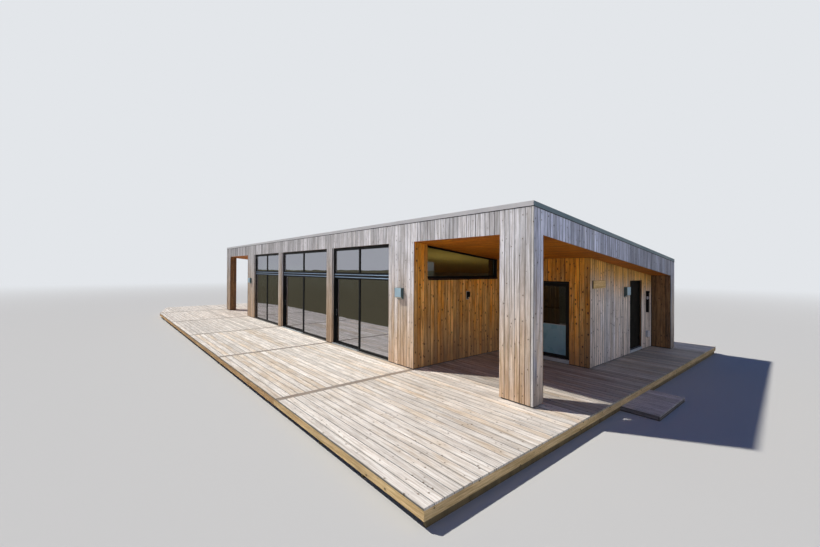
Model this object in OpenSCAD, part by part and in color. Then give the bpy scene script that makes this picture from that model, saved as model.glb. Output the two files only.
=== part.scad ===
// Timber beach house under one sloping roof, on a raised timber deck.
// House coordinates: x runs to the right along the front and is 0 at the right end,
// y runs into the house and is 0 at the front, z is 0 at the top of the deck.
// placed() moves them so that the origin is on the ground under the middle of the whole.

/* [House] */
// Length of the house along its front
house_l = 20420; // [19500:10:22000]
// Depth of the house from front to back
house_w = 8200; // [7600:10:9000]
// Height of the roof edge above the deck, at the front
roof_front_h = 3690; // [3500:10:4000]
// Slope of the roof in degrees, falling to the back
roof_pitch = 6; // [3:0.5:7]
// Upright depth of the roof from soffit to covering
roof_build = 560; // [400:10:640]
// Thickness of the outer walls
wall_t = 345; // [280:5:400]
// Thickness of the cladding and the soffit boards
clad_t = 22; // [18:1:30]
// Gap between the deck and the bottom of the walls
plinth_gap = 10; // [6:1:30]
// How far the plinth stands back behind the wall faces
plinth_inset = 25; // [15:1:40]
// Thickness of the inside floor
floor_t = 20; // [14:1:30]

/* [Front] */
// Width of the column at the right front corner
column_w = 720; // [500:10:900]
// Depth of both corner columns
column_d = 345; // [250:5:450]
// Width of the column at the left front corner
left_column_w = 720; // [500:10:900]
// Distance from the right end to the porch wall
porch_w = 3250; // [2900:10:3600]
// Width of the wall between the porch and the right bay
lamp_wall_w = 1015; // [700:5:1300]
// Width of the right glazed bay
right_bay_w = 3120; // [2400:10:3400]
// Width of the pier between the right and the middle bay
right_pier_w = 375; // [300:5:600]
// Width of the middle glazed bay
middle_bay_w = 4015; // [3200:5:4200]
// Width of the pier between the middle and the left bay
left_pier_w = 345; // [300:5:600]
// Width of the left glazed bay
left_bay_w = 3230; // [2400:10:3400]
// Width of the wall between the left bay and the open terrace
left_wall_w = 1025; // [700:5:1300]

/* [Porch] */
// Depth of the porch from the front to the entry wall
porch_d = 3455; // [2800:5:4000]
// How far the side wall stands back from the right end
side_recess = 545; // [400:5:700]
// Height of the window sill in the porch wall
clerestory_sill_h = 2210; // [1900:10:2400]
// Distance from the ends of that wall to its window
clerestory_margin = 120; // [80:5:250]

/* [Doors] */
// Height of both doorways above the deck
door_head_h = 2160; // [2050:10:2300]
// Width of the doorway in the entry wall
porch_door_w = 975; // [850:5:1100]
// Distance from the outer corner of the entry wall to that doorway
porch_door_corner = 530; // [400:5:700]
// Width of the doorway in the side wall
side_door_w = 945; // [850:5:1100]
// Distance from the back wall to the doorway in the side wall
side_door_corner = 840; // [600:10:1400]
// How far door frames stand back behind the wall face
door_set_back = 70; // [40:5:90]
// Width of the door jambs and head
door_jamb_w = 45; // [35:1:60]
// Depth of the door frames
door_frame_d = 120; // [90:5:160]
// Thickness of the door leaves
door_leaf_t = 56; // [44:1:68]
// Width of the stiles of the glazed door
door_stile_w = 65; // [60:5:130]
// Height of the rails of the glazed door
door_rail_h = 70; // [60:5:130]
// Running gap around a door leaf
door_gap = 5; // [5:0.5:7]
// Gap on the lock side and at the sill of a door leaf
door_lock_gap = 8; // [8:0.5:12]
// Radius of the hinge knuckles
knuckle_r = 9; // [7:0.5:10]
// Height of one hinge knuckle
knuckle_h = 50; // [35:1:70]
// Distance from a door leaf's top or bottom edge to its hinge
hinge_margin = 200; // [150:10:300]
// Play between a hinge knuckle and the door's face
knuckle_play = 3; // [1:0.5:5]
// Length of the tab that holds a hinge knuckle
hinge_tab = 35; // [25:1:50]
// Height of the door sills
door_sill_h = 102; // [80:1:120]
// Height of the pale front part of the door sills
sill_front_h = 67; // [40:1:75]
// How far the door sills stand out from the walls
sill_reach = 20; // [10:1:40]
// Width of the stop that a door leaf closes on
door_stop_w = 18; // [12:1:25]
// Height of the door handles above the deck
handle_h = 1020; // [950:10:1100]
// Radius of the door handles
handle_r = 9; // [7:0.5:12]
// How far the door handles stand out
handle_reach = 50; // [40:1:60]
// Length of the door handles
handle_l = 120; // [90:5:140]
// Radius of the round plate behind a door handle
rose_r = 17; // [14:1:20]
// Thickness of that plate
rose_t = 6; // [4:0.5:9]

/* [Bays] */
// How far the bay frames stand back behind the front
bay_set_back = 70; // [60:5:120]
// Depth of the bay frames
bay_frame_d = 120; // [110:5:150]
// Visible width of the bay frames' jambs, head and sill
bay_frame_w = 55; // [45:1:75]
// Height of the underside of the transom above the deck
transom_z = 2160; // [2050:10:2300]
// Height of the transom
transom_h = 170; // [130:5:220]
// Thickness of the glass units
glass_t = 24; // [18:1:28]
// How far the glass units reach behind the frame's lip
rebate = 12; // [8:1:16]
// Depth of the frame's lip in front of the glass
lip_d = 24; // [20:1:34]
// Play around the glass units inside their frames
glass_play = 2; // [1:0.5:4]
// Distance from the fixed glass to the track of a sliding leaf
track_gap = 6; // [5:0.5:8]
// Height of the two sloping ledges along the transom
ledge_h = 28; // [20:1:50]
// Depth of those ledges
ledge_d = 20; // [10:1:25]
// Thickness of the sliding leaves
slide_t = 44; // [36:1:50]
// Width of the sliding leaves' stiles and rails
slide_stile_w = 50; // [45:5:120]
// Running gap around a sliding leaf
slide_gap = 6; // [5:0.5:8]
// How far the track is let into the sill and the transom
track_sink = 35; // [10:1:40]
// Height of the rail that a sliding leaf runs on
rail_h = 8; // [6:1:10]
// Width of that rail
rail_w = 8; // [6:1:10]
// Radius of the rollers under a sliding leaf
roller_r = 14; // [12:1:18]
// Height of the low threshold in front of a sliding leaf
threshold_h = 25; // [15:1:40]
// Depth of that threshold
threshold_d = 55; // [30:1:55]
// Play between parts that touch on the real house
seat_gap = 0.3; // [0.2:0.1:0.5]

/* [Back and left] */
// Width of each window in the back wall
back_window_w = 1200; // [900:10:1500]
// Height of the sill of the windows in the back wall
back_sill_h = 950; // [800:10:1200]
// Distance from the roof's front edge down to the tops of the windows in the back wall
back_head_drop = 1590; // [1500:10:1800]
// Distance between the middles of those windows
back_window_pitch = 4200; // [3400:50:4600]
// Number of windows in the back wall
back_windows = 3; // [1:1:3]

/* [Roof] */
// Height of the metal edge trim
trim_h = 88; // [60:1:120]
// Thickness of the metal edge trim
trim_t = 3; // [2:0.5:4]
// Gap between the edge trim and the cladding
trim_gap = 1; // [0.5:0.5:3]
// Width of the edge trim on top of the roof
trim_top_w = 150; // [100:5:220]
// Thickness of the roof covering
cover_t = 8; // [5:1:12]

/* [Deck] */
// Height of the deck above the ground
deck_h = 240; // [220:5:320]
// How far the deck reaches in front of the house
deck_front = 3317; // [2500:1:4000]
// How far the deck reaches past the right end
deck_right = 794; // [600:1:1200]
// How far the deck reaches behind the house
deck_back = 1335; // [900:5:1800]
// How far the deck reaches past the left end
deck_left = 3380; // [2800:10:3800]
// How far the cut front left corner runs along the front
corner_cut_x = 3310; // [1500:10:3400]
// How far the cut front left corner runs back
corner_cut_y = 700; // [300:10:1200]
// Thickness of the deck boards
deck_board_t = 28; // [24:1:34]
// Gap between the deck boards and the walls' plinth
deck_gap = 5; // [3:1:8]
// Height of the boards around the edge of the deck
rim_h = 145; // [120:5:180]
// Thickness of the boards around the edge of the deck
rim_t = 28; // [22:1:34]
// Gap between the rim boards at a corner
rim_joint = 2; // [1:0.5:4]
// Width of the joists under the deck
joist_w = 45; // [38:1:60]
// Distance between the middles of the joists
joist_pitch = 1200; // [600:50:1400]
// Length of the step beside the deck
step_l = 1550; // [1000:10:1800]
// Width of the step beside the deck
step_w = 630; // [500:10:750]
// Distance from the front of the house to the step
step_y = 1800; // [1000:10:4000]

/* [Fittings] */
// Width of the wall lamps
lamp_w = 245; // [100:5:260]
// Depth of the wall lamps
lamp_d = 95; // [80:5:130]
// Height of the wall lamps
lamp_h = 285; // [180:5:320]
// Height of the middle of the wall lamps above the deck
lamp_z = 1838; // [1700:2:2000]
// Thickness of the wall lamps' back plates
lamp_plate_t = 12; // [8:1:20]
// How far the underside of a wall lamp slopes up to its front
lamp_slope = 45; // [20:1:80]
// Distance from the side doorway to the side lamp's middle
side_lamp_y = 345; // [200:5:500]
// Distance from the front to the porch lamp's middle
porch_lamp_y = 1985; // [800:5:2600]
// Height of the middle of the porch lamp above the deck
porch_lamp_z = 1742; // [1500:2:2000]
// Width of the porch lamp
porch_lamp_w = 75; // [70:5:160]
// Depth of the porch lamp
porch_lamp_d = 65; // [50:5:120]
// Height of the porch lamp
porch_lamp_h = 195; // [110:5:240]
// Length of the bare name board on the side wall
board_l = 730; // [400:10:900]
// Height of the bare name board
board_h = 200; // [120:5:260]
// Thickness of the bare name board
board_t = 25; // [15:1:40]
// Distance from the entry wall's face to the bare name board
board_y = 130; // [60:5:400]
// Height of the middle of the bare name board
board_z = 2095; // [1900:5:2200]
// Distance from the back wall to the middle of the black wall fitting
fitting_y = 435; // [250:5:600]
// Height of its lower end above the deck
fitting_z = 1140; // [900:10:1300]
// Height of the black wall fitting
fitting_h = 670; // [400:10:800]
// Width of the black wall fitting
fitting_w = 60; // [40:5:90]
// Depth of the black wall fitting
fitting_d = 70; // [50:5:100]
// How far its cap stands out on three sides
fitting_cap = 12; // [10:1:40]
// Height of that cap
fitting_cap_h = 55; // [30:5:90]
// Distance from the back wall to the middle of the socket box
socket_y = 425; // [80:5:600]
// Height of the lower end of the socket box above the deck
socket_z = 370; // [200:10:500]
// Height of the socket box
socket_h = 190; // [100:5:220]
// Width of the socket box
socket_w = 150; // [60:5:200]
// Depth of the socket box
socket_d = 75; // [35:5:90]

/* [Hidden] */

// Cutters reach this far past what they cut
over = 1;
// Colours
wood = "#b3a08c";
warm_wood = "#a9713a";
deck_wood = "#d9cbb8";
dark_metal = "#1d2023";
pale_metal = "#c3cace";
pane = "#6f828c88";

// Places along the front, from the right end
porch_x = -porch_w;
right_bay_x = porch_x - lamp_wall_w - right_bay_w;
middle_bay_x = right_bay_x - right_pier_w - middle_bay_w;
left_bay_x = middle_bay_x - left_pier_w - left_bay_w;
end_x = left_bay_x - left_wall_w;
back_y = house_w - wall_t;
head_z = roof_front_h - roof_build;
slope = tan(roof_pitch);

// Outline of the deck and the middle of the whole
deck_x0 = -house_l - deck_left;
deck_x1 = deck_right;
deck_y0 = -deck_front;
deck_y1 = house_w + deck_back;
step_x0 = deck_x1 - rim_t + seat_gap;
step_x1 = deck_x1 + step_w;
step_z = -rim_h - seat_gap;
mid_x = (deck_x0 + step_x1) / 2;
mid_y = (deck_y0 + deck_y1) / 2;
deck_edge = plinth_inset - deck_gap;

// Height of the tops of the windows in the back wall
back_head_h = roof_front_h - back_head_drop;

// Door places: the hinge side of each doorway
porch_door_x = -side_recess - porch_door_corner;
side_door_y = back_y - side_door_corner;
hinge_x = -door_jamb_w - door_gap / 2;
hinge_y = door_set_back - knuckle_r - knuckle_play;
leaf_x0 = door_jamb_w + door_lock_gap;
leaf_x1 = door_jamb_w + door_gap;
door_sill_z = plinth_gap + door_sill_h;
leaf_z0 = door_sill_z + door_lock_gap;
leaf_z1 = door_head_h - door_jamb_w - door_gap;

// Bay places, from the front of the frame inwards
bay_y0 = bay_set_back;
bay_y1 = bay_set_back + bay_frame_d;
glass_y = bay_y0 + lip_d;
track_y0 = glass_y + glass_t + track_gap;
slide_y = track_y0 + slide_gap;
rail_y = slide_y + slide_t / 2;
sill_z = plinth_gap + bay_frame_w;
upper_z = transom_z + transom_h;
bay_head_z = wall_top(bay_y1) - bay_frame_w;
glass_in = rebate - glass_play;
track_z = sill_z - track_sink;
track_top = transom_z + track_sink;
slide_z0 = track_z + rail_h + slide_gap;
slide_z1 = track_top - slide_gap;

// Height of the soffit, of what stands under it, and of the roof's top, from the front inwards
function soffit_z(y) = head_z - y * slope;
function wall_top(y) = soffit_z(y) - seat_gap;
function roof_z(y) = roof_front_h - y * slope;

// Start of each bay, its width, and whether its left half slides
BAYS = [
  [right_bay_x, right_bay_w, true],
  [middle_bay_x, middle_bay_w, true],
  [left_bay_x, left_bay_w, false]
];

module placed() {
  translate([-mid_x, -mid_y, deck_h]) children();
}

module box(x0, x1, y0, y1, z0, z1) {
  translate([x0, y0, z0]) cube([x1 - x0, y1 - y0, z1 - z0]);
}

// Prism that runs along x, from its outline in y and z
module along_x(x0, x1, outline) {
  translate([x0, 0, 0]) rotate([90, 0, 90]) linear_extrude(x1 - x0) polygon(outline);
}

// Wall that reaches up to the sloping soffit
module wall(x0, x1, y0, y1, z0 = plinth_gap) {
  along_x(x0, x1, [[y0, z0], [y1, z0], [y1, wall_top(y1)], [y0, wall_top(y0)]]);
}

// Slice of the roof between two depths below its top, drawn in from its edges
module roof_slice(inset, low, high) {
  y0 = inset;
  y1 = house_w - inset;
  along_x(-house_l + inset, -inset, [
    [y0, roof_z(y0) - low], [y1, roof_z(y1) - low],
    [y1, roof_z(y1) - high], [y0, roof_z(y0) - high]
  ]);
}

module inset_square(x0, x1, y0, y1, by) {
  translate([x0 + by, y0 + by]) square([x1 - x0 - 2 * by, y1 - y0 - 2 * by]);
}

// Plan of the walls and columns, drawn in by the given amount
module plinth_plan(by) {
  inset_square(end_x, porch_x, 0, house_w, by);
  inset_square(porch_x - wall_t, -side_recess, porch_d, house_w, by);
  inset_square(-house_l, 0, back_y, house_w, by);
  inset_square(-column_w, 0, 0, column_d, by);
  inset_square(-house_l, -house_l + left_column_w, 0, column_d, by);
}

// Plan of the sheltered ceilings: the porch with its side strip, and the terrace
module soffit_plan() {
  difference() {
    union() {
      translate([porch_x, clad_t]) square([porch_w - clad_t, porch_d - clad_t]);
      translate([-side_recess, clad_t]) square([side_recess - clad_t, back_y - clad_t]);
      translate([-house_l + clad_t, clad_t])
        square([house_l + end_x - clad_t, back_y - clad_t]);
    }
    translate([-column_w, 0]) square([column_w, column_d]);
    translate([-house_l, 0]) square([left_column_w, column_d]);
  }
}

module foundation() {
  color("#8f8c86") placed()
    translate([0, 0, -deck_h]) linear_extrude(deck_h + plinth_gap)
      plinth_plan(plinth_inset);
}

module floor() {
  color("#b9a58a") placed() {
    z1 = plinth_gap + floor_t;
    box(end_x + wall_t, porch_x - wall_t, wall_t, back_y, plinth_gap, z1);
    translate([porch_x - wall_t, porch_d + wall_t, plinth_gap])
      cube([porch_w - side_recess, back_y - porch_d - wall_t, floor_t]);
  }
}

// Deck: joists, boards, rim and step

// Height of the cut corner above the front edge, at a place along the front
function corner_y(x) = corner_cut_y * max(0, (deck_x0 + corner_cut_x - x) / corner_cut_x);

// Joists run from front to back and end at the plinth
module deck_joists() {
  count = floor((deck_x1 - deck_x0 - 2 * rim_t - joist_w) / joist_pitch);
  color("#8a7a60") placed() difference() {
    for (i = [0 : count]) {
      x = deck_x1 - rim_t - seat_gap - joist_w - i * joist_pitch;
      box(x, x + joist_w, deck_y0 + corner_y(x) + 2 * rim_t, deck_y1 - rim_t - seat_gap,
          -deck_h, -deck_board_t);
    }
    translate([0, 0, -deck_h - over]) linear_extrude(deck_h + over)
      plinth_plan(plinth_inset - seat_gap);
  }
}

module deck_plan() {
  polygon([
    [deck_x0, deck_y1], [deck_x1, deck_y1], [deck_x1, deck_y0],
    [deck_x0 + corner_cut_x, deck_y0], [deck_x0, deck_y0 + corner_cut_y]
  ]);
}

// One stretch of deck: what lies within the box, inside the rim and clear of the plinth
module deck_part(x0, x1, y0, y1) {
  color(deck_wood) placed() translate([0, 0, -deck_board_t]) linear_extrude(deck_board_t)
    difference() {
      intersection() {
        offset(delta = -rim_t) deck_plan();
        translate([x0, y0]) square([x1 - x0, y1 - y0]);
      }
      plinth_plan(deck_edge);
    }
}

module deck_front() {
  deck_part(deck_x0, deck_x1, deck_y0, deck_edge);
}

module deck_right() {
  deck_part(porch_x - plinth_inset, deck_x1, deck_edge, house_w - deck_edge);
}

module deck_back() {
  deck_part(deck_x0, deck_x1, house_w - deck_edge, deck_y1);
}

module deck_left() {
  deck_part(deck_x0, end_x + plinth_inset, deck_edge, house_w - deck_edge);
}

// Corners of the deck's rim, each with the direction of its mitre
rim_cut = 6;
corner_turn = atan2(corner_cut_y, corner_cut_x);
RIM_CORNERS = [
  [deck_x1, deck_y0, 135],
  [deck_x1, deck_y1, 45],
  [deck_x0, deck_y1, 135],
  [deck_x0 + corner_cut_x, deck_y0, 90 - corner_turn / 2],
  [deck_x0, deck_y0 + corner_cut_y, 45 - corner_turn / 2]
];

module rim_boards() {
  color("#b08a55") placed() translate([0, 0, -rim_h]) linear_extrude(rim_h)
    difference() {
      deck_plan();
      offset(delta = -rim_t) deck_plan();
      for (c = RIM_CORNERS)
        translate([c[0], c[1]]) rotate(c[2])
          square([rim_cut * rim_t, rim_joint], center = true);
    }
}

module entry_step() {
  color(deck_wood) placed() {
    box(step_x0, step_x1, step_y, step_y + step_l, step_z - deck_board_t, step_z);
    for (y = [step_y, step_y + step_l - joist_w])
      box(step_x0, step_x1, y, y + joist_w, -deck_h, step_z - deck_board_t);
  }
}

// Columns and walls

module corner_column() {
  color(wood) placed() wall(-column_w, 0, 0, column_d);
}

module left_column() {
  color(wood) placed() wall(-house_l, -house_l + left_column_w, 0, column_d);
}

module lamp_wall() {
  color(wood) placed() wall(porch_x - lamp_wall_w, porch_x, 0, wall_t);
}

module right_pier() {
  color(wood) placed() wall(right_bay_x - right_pier_w, right_bay_x, 0, wall_t);
}

module left_pier() {
  color(wood) placed() wall(middle_bay_x - left_pier_w, middle_bay_x, 0, wall_t);
}

module left_wall() {
  color(wood) placed() wall(end_x, left_bay_x, 0, wall_t);
}

// Wall below a window that reaches up to the soffit, with a post at each end
module clerestory_wall(x0, y1) {
  y0 = wall_t;
  p0 = wall_t + clerestory_margin;
  p1 = y1 - clerestory_margin;
  along_x(x0, x0 + wall_t, [
    [y0, plinth_gap], [y1, plinth_gap], [y1, wall_top(y1)], [p1, wall_top(p1)],
    [p1, clerestory_sill_h], [p0, clerestory_sill_h], [p0, wall_top(p0)], [y0, wall_top(y0)]
  ]);
}

module porch_wall() {
  color(warm_wood) placed() clerestory_wall(porch_x - wall_t, porch_d);
}

module entry_wall_left() {
  color(warm_wood) placed()
    wall(porch_x - wall_t, porch_door_x - porch_door_w, porch_d, porch_d + wall_t);
}

module entry_wall_right() {
  color(warm_wood) placed() wall(porch_door_x, -side_recess, porch_d, porch_d + wall_t);
}

module entry_wall_over() {
  color(warm_wood) placed()
    wall(porch_door_x - porch_door_w, porch_door_x, porch_d, porch_d + wall_t, door_head_h);
}

module side_wall_front() {
  color(wood) placed()
    wall(-side_recess - wall_t, -side_recess, porch_d + wall_t, side_door_y - side_door_w);
}

module side_wall_back() {
  color(wood) placed() wall(-side_recess - wall_t, -side_recess, side_door_y, back_y);
}

module side_wall_over() {
  color(wood) placed()
    wall(-side_recess - wall_t, -side_recess, side_door_y - side_door_w, side_door_y, door_head_h);
}

// Left edge of each window in the back wall
function back_window_x(i) =
  (end_x - side_recess) / 2 + (i - (back_windows - 1) / 2) * back_window_pitch - back_window_w / 2;

module back_wall() {
  color(wood) placed() difference() {
    wall(-house_l, 0, back_y, house_w);
    for (i = [0 : back_windows - 1])
      box(back_window_x(i), back_window_x(i) + back_window_w,
          back_y - over, house_w + over, back_sill_h, back_head_h);
  }
}

module end_wall() {
  color(wood) placed() {
    clerestory_wall(end_x, porch_d);
    wall(end_x, end_x + wall_t, porch_d, back_y);
  }
}

// Roof

// Depth of the covering and the fascia below the top of the edge trim
cover_z = trim_t + seat_gap;

module soffit_slice(low, high) {
  intersection() {
    roof_slice(clad_t, low, high);
    linear_extrude(roof_front_h) soffit_plan();
  }
}

module roof() {
  color("#6b6f73") placed() difference() {
    roof_slice(clad_t, roof_build, cover_z + cover_t + seat_gap);
    soffit_slice(roof_build + over, roof_build - clad_t);
  }
}

module fascia() {
  color(wood) placed() difference() {
    roof_slice(0, roof_build, cover_z);
    roof_slice(clad_t, roof_build + over, cover_z - over);
  }
}

module soffit() {
  color(warm_wood) placed() soffit_slice(roof_build, roof_build - clad_t);
}

module roof_cover() {
  color("#55595c") placed() roof_slice(clad_t, cover_z + cover_t, cover_z);
}

module roof_trim() {
  color(pale_metal) placed() difference() {
    roof_slice(-trim_gap - trim_t, trim_h, 0);
    roof_slice(-trim_gap, trim_h + over, trim_t);
    roof_slice(trim_top_w, trim_h + over, -over);
  }
}

// Bays: frame, fixed glass and sliding leaf

// Space under the soffit, to trim what reaches up to it
module under_soffit(x0, x1) {
  along_x(x0, x1, [
    [bay_y0 - over, 0], [bay_y1 + over, 0],
    [bay_y1 + over, wall_top(bay_y1 + over)], [bay_y0 - over, wall_top(bay_y0 - over)]
  ]);
}

// The two lights of a bay, side by side, drawn out by the given amount
module bay_lights(x0, w, z0, z1, out, y0, y1) {
  light_w = (w - 3 * bay_frame_w) / 2;
  for (i = [0, 1]) {
    x = x0 + bay_frame_w + i * (light_w + bay_frame_w);
    box(x - out, x + light_w + out, y0, y1, z0 - out, z1 + out);
  }
}

// Two sloping ledges along the front of the transom, which throw the rain off
module transom_ledges(x0, x1) {
  for (i = [0, 1]) {
    z = transom_z + transom_h * (2 * i + 1) / 4 - ledge_h / 2;
    along_x(x0, x1, [
      [bay_y0 - over, z - over], [bay_y0, z], [bay_y0 + ledge_d, z + ledge_h],
      [bay_y0 - over, z + ledge_h]
    ]);
  }
}

module bay_frame(bay) {
  x0 = bay[0];
  w = bay[1];
  color(dark_metal) placed() {
    difference() {
      intersection() {
        box(x0, x0 + w, bay_y0, bay_y1, plinth_gap, head_z);
        under_soffit(x0, x0 + w);
      }
      transom_ledges(x0 + bay_frame_w, x0 + w - bay_frame_w);
      bay_lights(x0, w, upper_z, bay_head_z, 0, bay_y0 - over, bay_y1 + over);
      bay_lights(x0, w, upper_z, bay_head_z, rebate, glass_y, bay_y1 + over);
      bay_lights(x0, w, sill_z, transom_z, 0, bay_y0 - over, bay_y1 + over);
      bay_lights(x0, w, sill_z, transom_z, rebate, glass_y, glass_y + glass_t + seat_gap);
      if (bay[2])
        box(x0 + bay_frame_w, x0 + w - bay_frame_w, track_y0, bay_y1 + over, track_z, track_top);
    }
    if (bay[2])
      box(x0 + bay_frame_w, x0 + w - bay_frame_w,
          rail_y - rail_w / 2, rail_y + rail_w / 2, track_z, track_z + rail_h);
  }
}

module left_bay_frame() {
  bay_frame(BAYS[2]);
}

module middle_bay_frame() {
  bay_frame(BAYS[1]);
}

module right_bay_frame() {
  bay_frame(BAYS[0]);
}

module bay_glass() {
  color(pane) placed()
    for (bay = BAYS) {
      bay_lights(bay[0], bay[1], upper_z, bay_head_z, glass_in, glass_y, glass_y + glass_t);
      difference() {
        bay_lights(bay[0], bay[1], sill_z, transom_z, glass_in, glass_y, glass_y + glass_t);
        if (bay[2])
          box(bay[0], bay[0] + bay[1] / 2, bay_y0, bay_y1, 0, transom_z + transom_h);
      }
    }
}

// Outer size of a sliding leaf
function leaf_left(bay) = bay[0] + bay_frame_w + slide_gap;
function leaf_right(bay) = bay[0] + (bay[1] + bay_frame_w) / 2;

module slide_leaf(bay) {
  x0 = leaf_left(bay);
  x1 = leaf_right(bay);
  s = slide_stile_w;
  color(dark_metal) placed() {
    difference() {
      box(x0, x1, slide_y, slide_y + slide_t, slide_z0, slide_z1);
      box(x0 + s, x1 - s, slide_y - over, slide_y + slide_t + over, slide_z0 + s, slide_z1 - s);
      box(x0 + s - rebate, x1 - s + rebate, slide_y + (slide_t - glass_t) / 2,
          slide_y + slide_t + over, slide_z0 + s - rebate, slide_z1 - s + rebate);
    }
    for (x = [x0 + s * 2, x1 - s * 2])
      translate([x, rail_y + slide_t / 4, track_z + rail_h + seat_gap + roller_r])
        rotate([90, 0, 0]) cylinder(r = roller_r, h = slide_t / 2, $fn = 48);
  }
}

module slide_glass(bay) {
  m = slide_stile_w - glass_in;
  y0 = slide_y + (slide_t - glass_t) / 2;
  color(pane) placed()
    box(leaf_left(bay) + m, leaf_right(bay) - m, y0, y0 + glass_t, slide_z0 + m, slide_z1 - m);
}

module middle_bay_leaf() {
  slide_leaf(BAYS[1]);
}

module middle_bay_leaf_glass() {
  slide_glass(BAYS[1]);
}

module right_bay_leaf() {
  slide_leaf(BAYS[0]);
}

module right_bay_leaf_glass() {
  slide_glass(BAYS[0]);
}

// Windows that don't open

// Clerestory window outline in y and z, drawn in by the given amount
module clerestory_outline(in, y1) {
  a = wall_t + clerestory_margin + in;
  b = y1 - clerestory_margin - in;
  lift = in / cos(roof_pitch);
  polygon([
    [a, clerestory_sill_h + in], [b, clerestory_sill_h + in],
    [b, wall_top(b) - lift], [a, wall_top(a) - lift]
  ]);
}

module clerestory_slab(x0, x1, in) {
  translate([x0, 0, 0]) rotate([90, 0, 90]) linear_extrude(x1 - x0) clerestory_outline(in, porch_d);
}

// Outer face of the frame on each side, and the direction into the wall
CLERESTORIES = [[porch_x - bay_set_back, -1], [end_x + bay_set_back, 1]];

module clerestory_frames() {
  color(dark_metal) placed()
    for (c = CLERESTORIES) {
      x0 = min(c[0], c[0] + c[1] * bay_frame_d);
      gx = min(c[0] + c[1] * lip_d, c[0] + c[1] * (bay_frame_d + over));
      difference() {
        clerestory_slab(x0, x0 + bay_frame_d, 0);
        clerestory_slab(x0 - over, x0 + bay_frame_d + over, bay_frame_w);
        clerestory_slab(gx, gx + bay_frame_d - lip_d + over, bay_frame_w - rebate);
      }
    }
}

module clerestory_glass() {
  color(pane) placed()
    for (c = CLERESTORIES) {
      x = min(c[0] + c[1] * lip_d, c[0] + c[1] * (lip_d + glass_t));
      clerestory_slab(x, x + glass_t, bay_frame_w - glass_in);
    }
}

module back_window_slab(i, in, y0, y1) {
  x = back_window_x(i);
  box(x + in, x + back_window_w - in, y0, y1, back_sill_h + in, back_head_h - in);
}

module back_window_frames() {
  y1 = house_w - bay_set_back;
  color(dark_metal) placed()
    for (i = [0 : back_windows - 1]) difference() {
      back_window_slab(i, 0, y1 - bay_frame_d, y1);
      back_window_slab(i, bay_frame_w, y1 - bay_frame_d - over, y1 + over);
      back_window_slab(i, bay_frame_w - rebate, y1 - bay_frame_d - over, y1 - lip_d);
    }
}

module back_window_glass() {
  y1 = house_w - bay_set_back - lip_d;
  color(pane) placed()
    for (i = [0 : back_windows - 1])
      back_window_slab(i, bay_frame_w - glass_in, y1 - glass_t, y1);
}

// Doors, seen from outside: x runs to the right and is 0 at the hinge side of the doorway,
// y runs into the wall and is 0 at its face

module at_porch_door() {
  placed() translate([porch_door_x, porch_d, 0]) children();
}

module at_side_door() {
  placed() translate([-side_recess, side_door_y, 0]) rotate(90) children();
}

// Hinge knuckle with its tab, which points to the given side
module knuckle(z, side) {
  translate([hinge_x, hinge_y, z]) {
    cylinder(r = knuckle_r, h = knuckle_h, $fn = 32);
    translate([side < 0 ? -hinge_tab : 0, 0, 0])
      cube([hinge_tab, door_set_back - hinge_y, knuckle_h]);
  }
}

module hinges(side, lift) {
  for (z = [leaf_z0 + hinge_margin, leaf_z1 - hinge_margin - 2 * knuckle_h])
    knuckle(z + lift, side);
}

module door_frame(w) {
  y0 = door_set_back;
  y1 = door_set_back + door_frame_d;
  ys = y0 + door_leaf_t + door_gap;
  j = door_jamb_w;
  color(dark_metal) {
    difference() {
      box(-w, 0, y0, y1, plinth_gap, door_head_h);
      box(-w + j, -j, y0 - over, ys, door_sill_z, door_head_h - j);
      box(-w + j + door_stop_w, -j - door_stop_w, y0, y1 + over, door_sill_z,
          door_head_h - j - door_stop_w);
    }
    hinges(1, 0);
  }
}

module door_handle(w, y0, out) {
  x = -w + leaf_x0 + door_stile_w / 2;
  y = out < 0 ? y0 : y0 + door_leaf_t;
  translate([x, y, handle_h]) rotate([out < 0 ? 90 : -90, 0, 0]) {
    cylinder(r = rose_r, h = rose_t, $fn = 48);
    cylinder(r = handle_r, h = handle_reach, $fn = 32);
  }
  translate([x - handle_r, y + out * handle_reach - handle_r, handle_h - handle_r])
    cube([handle_l, 2 * handle_r, 2 * handle_r]);
}

module door_leaf(w, glazed) {
  y0 = door_set_back;
  y1 = y0 + door_leaf_t;
  s = door_stile_w;
  r = door_rail_h;
  color(dark_metal) {
    difference() {
      box(-w + leaf_x0, -leaf_x1, y0, y1, leaf_z0, leaf_z1);
      if (glazed) {
        box(-w + leaf_x0 + s, -leaf_x1 - s, y0 - over, y1 + over, leaf_z0 + r, leaf_z1 - r);
        box(-w + leaf_x0 + s - rebate, -leaf_x1 - s + rebate, y0 + (door_leaf_t - glass_t) / 2,
            y1 + over, leaf_z0 + r - rebate, leaf_z1 - r + rebate);
      }
    }
    hinges(-1, knuckle_h + seat_gap);
    door_handle(w, y0, -1);
    door_handle(w, y0, 1);
  }
}

module porch_door_frame() {
  at_porch_door() door_frame(porch_door_w);
}

module porch_door_leaf() {
  at_porch_door() door_leaf(porch_door_w, true);
}

module porch_door_glass() {
  m = door_stile_w - glass_in;
  n = door_rail_h - glass_in;
  y0 = door_set_back + (door_leaf_t - glass_t) / 2;
  color(pane) at_porch_door()
    box(-porch_door_w + leaf_x0 + m, -leaf_x1 - m, y0, y0 + glass_t, leaf_z0 + n, leaf_z1 - n);
}

module side_door_frame() {
  at_side_door() door_frame(side_door_w);
}

module side_door_leaf() {
  at_side_door() door_leaf(side_door_w, false);
}

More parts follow.
